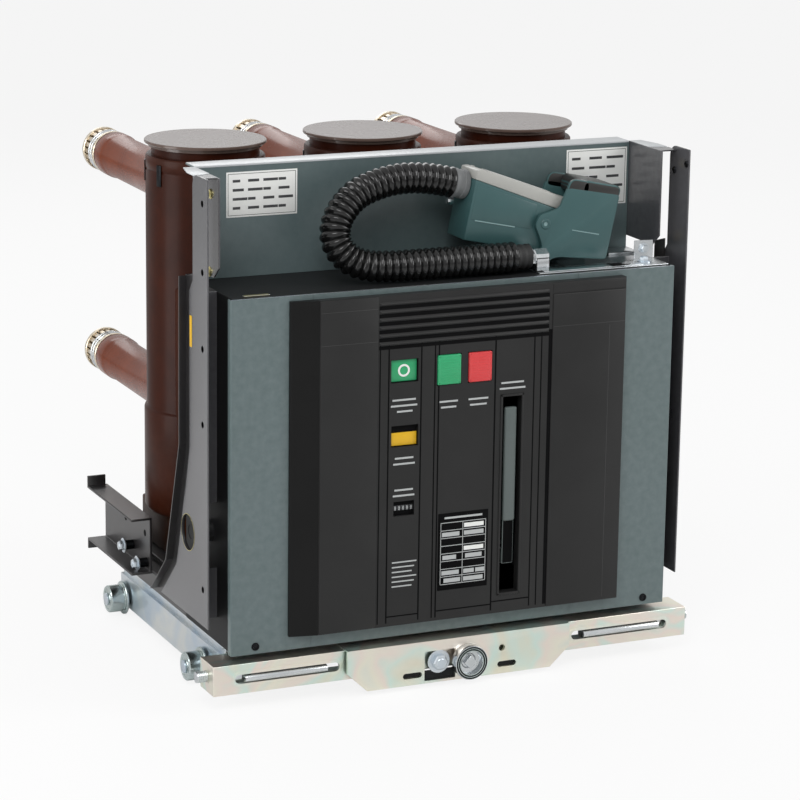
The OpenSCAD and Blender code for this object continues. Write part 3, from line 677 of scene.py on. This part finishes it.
def gridPlate(p, xs, zs, holes, yFront, yBack):
    # a slab cut by grid lines, with the cells in holes left open and walled
    cells = {(i, k) for i in range(len(xs) - 1) for k in range(len(zs) - 1)
             if not any(h[0] <= xs[i] + 0.01 and xs[i + 1] - 0.01 <= h[2] and h[1] <= zs[k] + 0.01
                        and zs[k + 1] - 0.01 <= h[3]
                        for h in holes)}
    made = {}

    def vert(i, k, y):
        if (i, k, y) not in made:
            made[i, k, y] = p.bm.verts.new((xs[i], y, zs[k]))
        return made[i, k, y]

    for i, k in cells:
        corners = [(i, k), (i + 1, k), (i + 1, k + 1), (i, k + 1)]
        p.bm.faces.new([vert(a, b, yFront) for a, b in corners])
        p.bm.faces.new([vert(a, b, yBack) for a, b in reversed(corners)])
        sides = [((i, k), (i + 1, k), (i, k - 1)), ((i + 1, k), (i + 1, k + 1), (i + 1, k)),
                 ((i + 1, k + 1), (i, k + 1), (i, k + 1)), ((i, k + 1), (i, k), (i - 1, k))]
        for a, b, neighbour in sides:
            if neighbour not in cells:
                p.bm.faces.new([vert(*a, yFront), vert(*a, yBack), vert(*b, yBack), vert(*b, yFront)])


def makeFascia(c):
    p = Piece("fasciaPanel", "breaker", "fascia")
    face, top, gap = c["y"], c["top"], 0.8
    windows = [(-92, 379, -57, 407), (-91, 301, -56, 327), (-87, 216, -60, 234)]
    holes = [(c["leverX"] - c["slotHalf"], c["slotZ"], c["leverX"] + c["slotHalf"], c["slotTop"])]
    for x in (c["closeX"], c["openX"]):
        holes.append((x - c["buttonW"] / 2 - gap, c["buttonZ"] - c["buttonH"] / 2 - gap,
                      x + c["buttonW"] / 2 + gap, c["buttonZ"] + c["buttonH"] / 2 + gap))
    holes += windows
    left, right = -c["half"] + c["bevel"], c["half"]
    xs = sorted({left, right, *[h[0] for h in holes], *[h[2] for h in holes]})
    zs = sorted({c["z"], top, *[h[1] for h in holes], *[h[3] for h in holes]})
    gridPlate(p, xs, zs, holes, face + 1.2, c["back"])
    # sloping left side, in a darker plastic as painted shade where it faces away from the light
    slope = [(-c["half"], c["back"]), (-c["half"], c["back"] - 3), (-c["half"] + 1.2, c["back"] - 4.2),
             (left, face + 1.2), (left, c["back"])]
    p.prism(slope, "z", c["z"], top - c["z"], 0.0, "fasciaSlope")
    # raised fields left and right of the columns, with rounded edges
    p.block((left + 0.5, face + 0.1, c["z"] + 0.5), (-109.5, face + 3, top - 0.5), 1.0)
    p.block((118.5, face + 0.1, c["z"] + 0.5), (c["half"] - 0.5, face + 3, top - 14), 1.0)
    p.block((118.5, face + 0.6, top - 13), (c["half"] - 0.5, face + 3, top - 0.5), 1.0)
    # embossed lines across the outer fields, in the lighter plastic of painted highlight
    for z in (470, 431):
        for x0, x1 in ((-213, -110), (119, 216)):
            p.block((max(x0, left + 1), face + 0.02, z - 0.7), (x1, face + 1, z + 0.7), 0.4, "fasciaRib")
    p.block((194.6, face + 0.0, c["z"] + 4), (196, face + 1.5, 428), 0.3, "fasciaRib")
    # louvre ribs with rounded noses, in the lighter plastic of painted highlight, with a dark strip of
    # painted shade between each two
    for k in range(c["ribs"] + 1):
        z = c["ribTop"] - k * c["ribPitch"]
        p.block((c["ribLeft"], face + 0.05, z - c["ribHeight"]), (c["ribRight"], face + 5, z), 2.2,
                "fasciaRib", segments=3)
        p.block((c["ribLeft"], face + 1.0, z - c["ribPitch"]),
                (c["ribRight"], face + 2, z - c["ribHeight"]), 0, "shadeGroove")
    # grooves at the foot and head of the three columns, as dark strips of painted shade
    for x0, x1, z0 in ((-94, -54, 92), (-29, 42.8, 92), (45, 94.6, 95)):
        for z in (z0, 424):
            p.block((x0, face + 0.9, z - 0.8), (x1, face + 1.3, z + 0.6), 0.0, "shadeGroove")
        # the upper rim of each sunk column, in the lighter plastic of painted highlight
        p.block((x0, face + 0.5, 425.4), (x1, face + 2, 426.6), 0.4, "fasciaRib")
    # dark strips of painted shade along the grooves beside the columns
    for x0, x1 in ((-107, -105.6), (-95.8, -94.2), (-53.8, -52.2), (-36, -34.6), (-31, -29.4), (43, 44.8),
                   (94.8, 96.2),
                   (104, 105.4), (114.0, 118.4)):
        p.block((x0, face + 0.95, 84), (x1, face + 1.3, 428), 0.0, "shadeGroove")
    # lip round the lever's slot
    x, h = c["leverX"], c["slotHalf"]
    for a, b in (((x - h - 3, c["slotZ"] - 3), (x - h, c["slotTop"] + 3)),
                 ((x + h, c["slotZ"] - 3), (x + h + 3, c["slotTop"] + 3)),
                 ((x - h - 3, c["slotTop"]), (x + h + 3, c["slotTop"] + 3)),
                 ((x - h - 3, c["slotZ"] - 3), (x + h + 3, c["slotZ"]))):
        p.block((a[0], face + 0.05, a[1]), (b[0], face + 2, b[1]), 0.8)
    p.done(30, ["fascia"], "fascia_plastic")
    # dark sheet behind the windows, painted shade in their recesses
    d = Piece("windowCards", "breaker", "shadeGroove")
    for x0, z0, x1, z1 in windows:
        d.block((x0 - 0.5, face + 5.2, z0 - 0.5), (x1 + 0.5, face + 6.2, z1 + 0.5), 0)
    # position flag: green card with a white ring
    d.block((-91, face + 4.4, 380), (-58, face + 5.3, 406), 0.2, "green")
    d.lathe([(5.2, 0), (5.2, -0.6), (7.6, -0.6), (7.6, 0)], (-74.5, face + 4.5, 393), "y", 40, "card")
    # spring flag: yellow card
    d.block((-90, face + 4.4, 302), (-57, face + 5.3, 318), 0.2, "yellow")
    # counter drums
    for k in range(5):
        x0 = -86 + k * 5.2
        d.lathe([(0, 0), (5, 0), (5, 4.6), (0, 4.6)], (x0, face + 9, 225), "x", 28, "ink")
        d.block((x0 + 1.6, face + 3.8, 222.6), (x0 + 3.0, face + 4.3, 227.6), 0.1, "silverInk")
    d.done(30)
    # dark sheet behind the lever's slot, painted shade in the well
    inner = Piece("leverSlotShade", "breaker", "shadeGroove")
    inner.block((40, 100, 96), (95, 101, 360), 0)
    inner.done(30)
    # data plate: ruled lines and plain filled cells, no words
    # the plate's own black ground, in the same dark as the painted shade
    n = Piece("dataPlate", "breaker", "shadeGroove")
    n.block((-28, face + 0.5, 117), (38, face + 1.3, 213), 0.3)
    for k in range(9):
        n.block((-25, face + 0.35, 124 + k * 9.6), (35, face + 0.8, 124.8 + k * 9.6), 0, "silverInk")
    for x0 in (-25, 4, 34.4):
        n.block((x0, face + 0.35, 124), (x0 + 0.7, face + 0.8, 201), 0, "silverInk")
    n.block((-20, face + 0.35, 206), (30, face + 0.8, 208.4), 0, "silverInk")
    for x0, x1, k in ((6, 32, 7), (6, 32, 6), (6, 32, 4), (8, 30, 3), (6, 20, 1), (22, 34, 1),
                      (-23, 0, 6), (-22, -4, 3), (-23, 0, 1), (-20, 2, 0), (6, 32, 0)):
        n.block((x0, face + 0.35, 126.4 + k * 9.6), (x1, face + 0.8, 131.6 + k * 9.6), 0,
                "card" if k in (7, 4) else "silverInk")
    n.done(30)
    # plain printed bars where the real panel carries words
    w = Piece("panelMarks", "breaker", "silverInk")
    for x0, x1, z in ((-90, -60, 357), (-92, -58, 350), (-84, -64, 343), (-86, -62, 286), (-88, -60, 279),
                      (-86, -62, 247),
                      (-88, -60, 240), (-29, -5, 350), (-27, -7, 343), (9, 35, 350), (11, 33, 343),
                      (52, 82, 366), (50, 84, 359)):
        w.block((x0, face + 1.05, z), (x1, face + 1.25, z + 2.2), 0)
    for k in range(6):
        w.block((-88, face + 1.05, 128 + k * 6), (-62 + (k % 3) * 3, face + 1.25, 129.6 + k * 6), 0)
    w.done(30)


makeFascia(panel)


def makeButton(node, x, look):
    p = Piece(node + "Cap", node, look)
    c = panel
    w, h = c["buttonW"] / 2, c["buttonH"] / 2
    p.block((x - w, c["y"] - 0.9, c["buttonZ"] - h), (x + w, 18.5, c["buttonZ"] + h), 1.4, segments=3)
    # raised rim round a shallow dish
    for a, b in (((x - w + 1, c["buttonZ"] - h + 1), (x - w + 3, c["buttonZ"] + h - 1)),
                 ((x + w - 3, c["buttonZ"] - h + 1), (x + w - 1, c["buttonZ"] + h - 1)),
                 ((x - w + 1, c["buttonZ"] + h - 3), (x + w - 1, c["buttonZ"] + h - 1)),
                 ((x - w + 1, c["buttonZ"] - h + 1), (x + w - 1, c["buttonZ"] - h + 3))):
        p.block((a[0], c["y"] - 1.0, a[1]), (b[0], c["y"] + 1, b[1]), 0.6)
    for k in range(9):
        z = c["buttonZ"] - h + 4.2 + k * 3.2
        p.block((x - w + 3, c["y"] - 1.1, z), (x + w - 3, c["y"] + 0.5, z + 1.6), 0.5)
    p.done(40, [node], slotOf[node])


makeButton("close_button", panel["closeX"], "green")
makeButton("open_button", panel["openX"], "red")

leverParts = {"x": 67, "w": 16, "y": 2, "z": 140, "top": 336, "pivotY": 28, "pivotZ": 150}


def makeLever(c):
    p = Piece("chargingLeverBar", "charging_lever", "lever")
    x, w = c["x"], c["w"] / 2
    p.block((x - w, c["y"], 194), (x + w, c["y"] + 6, c["top"]), 2.4, segments=4)
    # the lever's lower end and its arm to the pivot are painted dark as shade below the bar
    p.block((x - w + 0.5, c["y"] + 2.5, c["z"]), (x + w - 0.5, c["y"] + 6, 196), 1.0, "shadeGroove")
    p.block((x - w, c["y"] + 3, c["z"]), (x + w, c["pivotY"], c["z"] + 20), 1.5, "shadeGroove")
    p.lathe([(6.1, 0), (11.2, 0), (12, 0.8), (12, 19.2), (11.2, 20), (6.1, 20)],
            (x - 10, c["pivotY"], c["pivotZ"]), "x", 40)
    p.done(40, ["charging_lever"], "lever_paint")


makeLever(leverParts)
print("fascia, buttons and lever made")


# labels on the shroud wall: a ruled frame and plain bars, no words
def makeLabel(name, x0, x1, z0, z1, rows, cells):
    p = Piece(name, "breaker", "card")
    y = plates["wallY"]
    p.block((x0, y - 0.35, z0), (x1, y - 0.02, z1), 0.1)
    w, h = x1 - x0, z1 - z0
    for a, b in (((x0 + 2, z0 + 2), (x1 - 2, z0 + 2.6)), ((x0 + 2, z1 - 2.6), (x1 - 2, z1 - 2)),
                 ((x0 + 2, z0 + 2), (x0 + 2.6, z1 - 2)), ((x1 - 2.6, z0 + 2), (x1 - 2, z1 - 2))):
        p.block((a[0], y - 0.45, a[1]), (b[0], y - 0.3, b[1]), 0, "ink")
    for r in range(rows):
        z = z1 - (r + 1) * h / (rows + 1)
        for k in range(cells):
            a = x0 + w * (0.09 + 0.86 * k / cells)
            p.block((a, y - 0.45, z - 1.6), (a + w * (0.42 + 0.2 * ((r + k) % 3)) / cells, y - 0.3, z + 1.6),
                    0, "ink")
    p.done(30)


makeLabel("leftLabel", -248, -158, 563, 617, 4, 4)
makeLabel("rightLabel", 200, 284, 548, 619, 5, 3)


# racking beam and truck
beam = {"mid": 38.25, "slotIn": 154, "slotOut": 289}


def roundedSlot(x0, x1, z, r, steps=8):
    outline = []
    for x, start in ((x1 - r, -90), (x0 + r, 90)):
        for k in range(steps + 1):
            a = math.radians(start + 180 * k / steps)
            outline.append((x + r * math.cos(a), z + r * math.sin(a)))
    return outline


softened("front_beam", "straw", 0.8)
pockets = Piece("gripPockets", "beam", "straw")
for side in (-1, 1):
    # embossed rim that rounds the ends of each grip slot
    outer = roundedSlot(beam["slotIn"] - 3, beam["slotOut"] + 3, beam["mid"], 9.2)
    inner = roundedSlot(beam["slotIn"] + 1, beam["slotOut"] - 1, beam["mid"], 5.6)
    verts = []
    for ring, y in ((outer, 0.0), (outer, -0.5), (inner, -1.0), (inner, 2.4)):
        verts.append([pockets.bm.verts.new((side * x, y, z)) for x, z in ring])
    for a, b in zip(verts, verts[1:]):
        for k in range(len(a)):
            n = (k + 1) % len(a)
            pockets.bm.faces.new([a[k], a[n], b[n], b[k]])
pockets.done(50)
softened("centre_plate", "straw", 0.6)
# dark sheet behind the centre plate, painted shade that shows through its slots and cut-out
plateShade = Piece("centrePlateBacking", "beam", "darkPaint")
plateShade.block((-100, -4.8, 6.5), (100, -3.6, 19.8), 0.3)
plateShade.done(30)

for side, node, body in ((-1, "handle_left", "lock_left"), (1, "handle_right", "lock_right")):
    softened(node, "steel", 1.6)
    # turned rings on the lock tongue
    ends = Piece(node + "TongueRings", body, "turned")
    for k in range(5):
        x = side * (317 + k * 2.2)
        ends.lathe([(6.5, 0), (6.9, 0.4), (6.9, 0.9), (6.5, 1.3)], (x, 25, beam["mid"]), "x", 32)
    ends.done(40)

hexBolt("beam", "zinc", (-27, -5, 30), "y", -1, 17, 7)
ringFace = Piece("socketRingFace", "beam", "turned")
ringFace.lathe([(14.7, 0.4), (15.6, -0.0), (20.4, 0.0), (21.3, 0.7)], (10, -22, 28), "y", 56)
ringFace.lathe([(17.6, -0.02), (18.4, -0.02)], (10, -22, 28), "y", 56)
ringFace.done(40)

softened("rails", "zinc", 0.6)
for name, s, y in (("wheel_front_left", -1, 113), ("wheel_front_right", 1, 113),
                   ("wheel_rear_left", -1, 400), ("wheel_rear_right", 1, 400)):
    w = Piece(name + "Turned", bodyOf[name], "turned")
    w.lathe([(5.1, 0), (17, 0), (20.8, 0.3 * s), (21.5, 1.0 * s), (21.5, 3.0 * s), (20.8, 3.8 * s),
             (17.7, 4.2 * s), (17.2, 5 * s), (17.5, 6 * s), (17.5, 21.6 * s), (16.4, 23 * s), (13.5, 23 * s),
             (12.9, 22.2 * s), (9, 22.0 * s), (8.4, 22.6 * s), (5.1, 22.6 * s)], (s * 286, y, 21.5), "x", 64)
    w.done(35, [name], "wheel_zinc")
print("truck and beam made")


# conduit: corrugated tube along its chosen route
conduit = {"route": [(22, 90, 597), (4, 90, 601), (-16, 90, 604), (-38, 90, 605), (-60, 89, 603),
                     (-82, 87, 598), (-103, 84, 590), (-120, 79, 577), (-132, 73, 562), (-137, 66, 545),
                     (-133, 59, 530), (-120, 52, 518), (-101, 46, 512), (-78, 42, 510.5), (-54, 40, 510.5),
                     (-30, 40, 510.5), (-6, 40, 510.5), (18, 40, 510.5), (42, 40, 510.5), (62, 40, 510.5),
                     (84, 40, 510.5)],
           "outer": 18.9, "inner": 15.6, "pitch": 8.6, "sides": 40}


def smoothLine(points, step):
    # evenly spaced points on a smooth curve through the given ones
    pts = [Vector(p) for p in points]
    pts = [2 * pts[0] - pts[1]] + pts + [2 * pts[-1] - pts[-2]]
    dense = []
    for a, b, c, d in zip(pts, pts[1:], pts[2:], pts[3:]):
        for k in range(24):
            t = k / 24
            dense.append(0.5 * ((2 * b) + (c - a) * t + (2 * a - 5 * b + 4 * c - d) * t * t
                                + (3 * b - a - 3 * c + d) * t ** 3))
    dense.append(pts[-2])
    lengths = [0]
    for a, b in zip(dense, dense[1:]):
        lengths.append(lengths[-1] + (b - a).length)
    count = round(lengths[-1] / step)
    line, j = [], 0
    for i in range(count + 1):
        s = lengths[-1] * i / count
        while j < len(dense) - 2 and lengths[j + 1] < s:
            j += 1
        span = lengths[j + 1] - lengths[j]
        line.append(dense[j].lerp(dense[j + 1], min(1, (s - lengths[j]) / span)))
    return line, lengths[-1]


def makeConduit(c):
    steps = 8
    line, length = smoothLine(c["route"], c["pitch"] / steps)
    p = Piece("corrugatedConduit", "breaker", "conduit")
    rings = []
    for i, at in enumerate(line):
        ahead = (line[min(i + 1, len(line) - 1)] - line[max(i - 1, 0)]).normalized()
        side = ahead.cross(Vector((0, -0.9, 0.45))).normalized()
        up = ahead.cross(side)
        wave = 0.5 + 0.5 * math.cos(2 * math.pi * i / steps)
        r = c["inner"] + (c["outer"] - c["inner"]) * min(1, wave ** 0.55)
        rings.append([p.bm.verts.new(at + r * (math.cos(a) * side + math.sin(a) * up))
                      for a in [2 * math.pi * k / c["sides"] for k in range(c["sides"])]])
    for a, b in zip(rings, rings[1:]):
        for k in range(c["sides"]):
            n = (k + 1) % c["sides"]
            p.bm.faces.new([a[k], a[n], b[n], b[k]])
    p.bm.faces.new(rings[0])
    p.bm.faces.new(rings[-1][::-1])
    tube = p.done(60, ["conduit"], "conduit_nylon")
    return tube, length, [pt(*q) for q in line[::4] + [line[-1]]]


tube, tubeLength, tubePath = makeConduit(conduit)
print("conduit length in mm:", round(tubeLength, 1))

# plug, drawn from its lower front corner and laid down on its slope
plug = {"foot": (28, 62, 530.5), "tilt": 12, "len": 150, "h": 74, "endH": 50, "d": 50, "pivot": (101, 36)}
onPlug = Matrix.Translation(plug["foot"]) @ Matrix.Rotation(math.radians(plug["tilt"]), 4, "Y")


def makePlug(c):
    p = Piece("plugHousing", "breaker", "plug")
    length, h, endH, d = c["len"], c["h"], c["endH"], c["d"]
    p.prism([(0.3, 0.3), (length, 0.3), (length, endH), (0.3, h)], "y", 0.6, d - 1.2, 1.8)
    # the front face stands proud above the fold line, whose edge catches the light; a pale strip paints that
    # highlight
    p.block((9, -0.2, 24.8), (64, 0.8, 26.8), 0.3, "plugHighlight")
    p.prism([(3, 26), (88, 26), (88, endH + 7), (3, h - 5)], "y", 0.0, 3, 1.2)
    p.prism([(108, 4), (length - 3, 4), (length - 3, endH - 4), (112, endH - 2), (112, 40)],
            "y", 0.0, 3, 1.2)
    p.done(40, ["plug_body"], "plug_plastic", onPlug)
    lid = Piece("plugLid", "breaker", "lid")
    lid.prism([(0.2, h + 0.1), (length - 0.2, endH + 0.1), (length - 0.4, endH + 17), (8, h + 12.8),
               (0.4, h + 11)], "y", 2, d - 4, 1.5)
    slope = math.atan2((h + 12.8) - (endH + 17), length - 8)
    raised = Matrix.Translation((8, 0, h + 12.8)) @ Matrix.Rotation(slope, 4, "Y")
    lid.block((16, 9, -1), (100, d - 9, 0.9), 0.8, "card", raised)
    for x, y in ((6, 6), (6, d - 6)):
        lid.block((x - 2, y - 2, -1), (x + 2, y + 2, 0.8), 0.6, "clamp", raised)
    lid.done(40, ["plug_lid"], "lid_plastic", onPlug)
    clamp = Piece("plugCableClamp", "breaker", "clamp")
    clamp.lathe([(0, 0.2), (16.5, 0.2), (18, 1.5), (18, 6), (17, 7), (17, 12), (18, 13), (18, 18.5),
                 (17, 19.4), (0, 19.4)],
                (-19.6, 28, 64), "x", 48)
    clamp.lathe([(0, 0.3), (4.4, 0.3), (5, 1), (5, 7), (4.4, 7.8), (0, 7.8)],
                (-19.6, 28, 64 - 22), "x", 20, "steel")
    clamp.done(40, ["cable_clamp"], "lid_plastic", onPlug)


def roundedPath(points, r, steps=5):
    # rounds the corners of a closed outline
    out = []
    for i, b in enumerate(points):
        a, c = Vector(points[i - 1]), Vector(points[(i + 1) % len(points)])
        b = Vector(b)
        cut = min(r, (a - b).length * 0.45, (c - b).length * 0.45)
        p0, p1 = b + (a - b).normalized() * cut, b + (c - b).normalized() * cut
        for k in range(steps + 1):
            t = k / steps
            out.append(tuple((1 - t) ** 2 * p0 + 2 * t * (1 - t) * b + t * t * p1))
    return out


def makePlugLever(c):
    p = Piece("plugLockingLever", "plug_lever", "plug")
    px, pz = c["pivot"]
    endX = c["len"] + 43
    outline = roundedPath([(px - 13, pz - 4), (px - 10, pz + 10), (px, pz + 14), (116, 58), (121, 84),
                           (endX, 86), (endX, 5), (129, -1), (118, -5), (112, -14), (99, -14), (93, -8),
                           (97, 0), (104, 6), (98, 18)], 5)
    for y in (-6, c["d"] + 1):
        p.prism(outline, "y", y, 5, 1.0)
    p.lathe([(0, -0.4), (2.6, -0.4), (3.0, -1.2), (5.6, -1.2), (6.5, -0.3), (6.5, 62.3), (5.6, 63.2),
             (0, 63.2)], (px, -6, pz), "y", 36)
    # pale face on the pivot pin's end, a painted highlight
    p.lathe([(0, -0.5), (2.5, -0.5)], (px, -6, pz), "y", 24, "plugHighlight")
    # folded rim along the cheek, painted pale as a highlight
    p.block((138, -6.4, 33), (176, -5.5, 34.8), 0.3, "plugHighlight")
    # dark rounded grip that bridges the cheeks over the lid
    # it starts past the lid's end, so that it swings over the lid with 4 mm to spare
    grip = roundedPath([(141, 77), (141, 96), (endX, 96), (endX, 80), (150, 77)], 10, 8)
    p.prism(grip, "y", -5.9, c["d"] + 11.8, 2.0, "plugDark")
    shoulder = roundedPath([(120, 77), (123, 95), (150, 95.5), (150, 77)], 9, 8)
    for y in (-5.9, c["d"] + 1.0):
        p.prism(shoulder, "y", y, 4.9, 1.4, "plugDark")
    p.prism([(endX - 4, 22), (endX - 0.5, 22), (endX - 0.5, 84), (endX - 4, 84)], "y", -3, c["d"] + 6, 0.8)
    p.done(40, ["plug_lever"], "plug_plastic", onPlug)


makePlug(plug)
makePlugLever(plug)

gland = Piece("conduitGland", "breaker", "rubber")
gland.lathe([(0, 0.2), (15, 0.2), (15, 3), (14.2, 4), (14.2, 7), (15, 8), (15, 11), (14.2, 12), (14.2, 15),
             (15, 16), (15, 19.8), (0, 20)],
            (84, 40, 510.5), "x", 40)
gland.lathe([(0, 20), (11, 20), (11, 24), (10.4, 25), (10.4, 43), (9.6, 44), (0, 44)],
            (84, 40, 508.5), "x", 6, "steel")
gland.lathe([(0, 24.5), (10.9, 24.5), (10.9, 26), (0, 26)], (84, 40, 508.5), "x", 36, "steel")
gland.block((110, 30, 492.6), (128, 50, 509), 1.2, "steel")
gland.done(40, ["conduit_fitting"], "bright_steel")
print("plug made")

fastenerPieces = [k.done(35) for k in hardware.values()]
print("fasteners made:", len(fastenerPieces))


# floor and light
def setStage():
    floorMesh = bpy.data.meshes.new("floor")
    bm = bmesh.new()
    size, justUnder = 30, -0.0005      # metres; a hair below the wheels
    # one flat sheet, wide enough that its edge is never seen
    corners = ((-size, -size), (size, -size), (size, size), (-size, size))
    bm.faces.new([bm.verts.new((x, y, justUnder)) for x, y in corners])
    bm.to_mesh(floorMesh)
    bm.free()
    m = bpy.data.materials.new("paleStudioFloor")
    m.use_nodes = True
    t = m.node_tree
    shader = t.nodes["Principled BSDF"]
    shader.inputs["Base Color"].default_value = toLinear("#f4f4f4")
    shader.inputs["Roughness"].default_value = 0.7
    shader.inputs["Specular IOR Level"].default_value = 0.2
    # the camera sees most of the floor as plain white paper, and the rest of it carries the shadow
    white = addNode(t, "ShaderNodeEmission", {"Color": toLinear("#ffffff"), "Strength": 1.0})
    ray = addNode(t, "ShaderNodeLightPath")
    share = addNode(t, "ShaderNodeMath", {"operation": "MULTIPLY", "in1": 0.86},
                    {"in0": ray.outputs["Is Camera Ray"]})
    mix = addNode(t, "ShaderNodeMixShader",
                  links={"in0": share.outputs[0], "in1": shader.outputs[0], "in2": white.outputs[0]})
    t.links.new(mix.outputs[0], t.nodes["Material Output"].inputs["Surface"])
    floorMesh.materials.append(m)
    floor = bpy.data.objects.new("floor", floorMesh)
    bpy.context.collection.objects.link(floor)


def setWorld(strength):
    world = bpy.data.worlds.new("studio")
    world.use_nodes = True
    t = world.node_tree
    light = t.nodes["Background"]
    light.inputs["Strength"].default_value = strength
    light.inputs["Color"].default_value = toLinear("#ffffff")
    white = addNode(t, "ShaderNodeBackground", {"Color": toLinear("#ffffff"), "Strength": 1.0})
    ray = addNode(t, "ShaderNodeLightPath")
    shiny = addNode(t, "ShaderNodeMath", {"operation": "MULTIPLY", "in1": 0.6},
                    {"in0": ray.outputs["Is Glossy Ray"]})
    seen = addNode(t, "ShaderNodeMath", {"operation": "MAXIMUM"},
                   {"in0": ray.outputs["Is Camera Ray"], "in1": shiny.outputs[0]})
    mix = addNode(t, "ShaderNodeMixShader",
                  links={"in0": seen.outputs[0], "in1": light.outputs[0], "in2": white.outputs[0]})
    t.links.new(mix.outputs[0], t.nodes["World Output"].inputs["Surface"])
    bpy.context.scene.world = world


def softbox(name, at, aim, size, power):
    data = bpy.data.lights.new(name, "AREA")
    data.shape = "RECTANGLE"
    data.size, data.size_y = size
    data.energy = power
    lamp = bpy.data.objects.new(name, data)
    lamp.location = at
    lamp.rotation_euler = (Vector(at) - Vector(aim)).to_track_quat("Z", "Y").to_euler()
    bpy.context.collection.objects.link(lamp)


setStage()
setWorld(0.36)
softbox("keyBox", (-1.2, -2.2, 2.6), (0, 0, 0.3), (1.6, 1.6), 40)
softbox("sideBox", (-2.6, -0.1, 0.9), (0, 0, 0.3), (1.2, 1.8), 24)
softbox("rightBox", (2.4, -1.4, 1.6), (0, 0, 0.3), (1.2, 1.8), 30)
softbox("rearBox", (0.4, 2.6, 2.2), (0, 0, 0.4), (2.0, 1.2), 22)
bpy.context.scene.view_settings.view_transform = "Standard"
print("stage set")
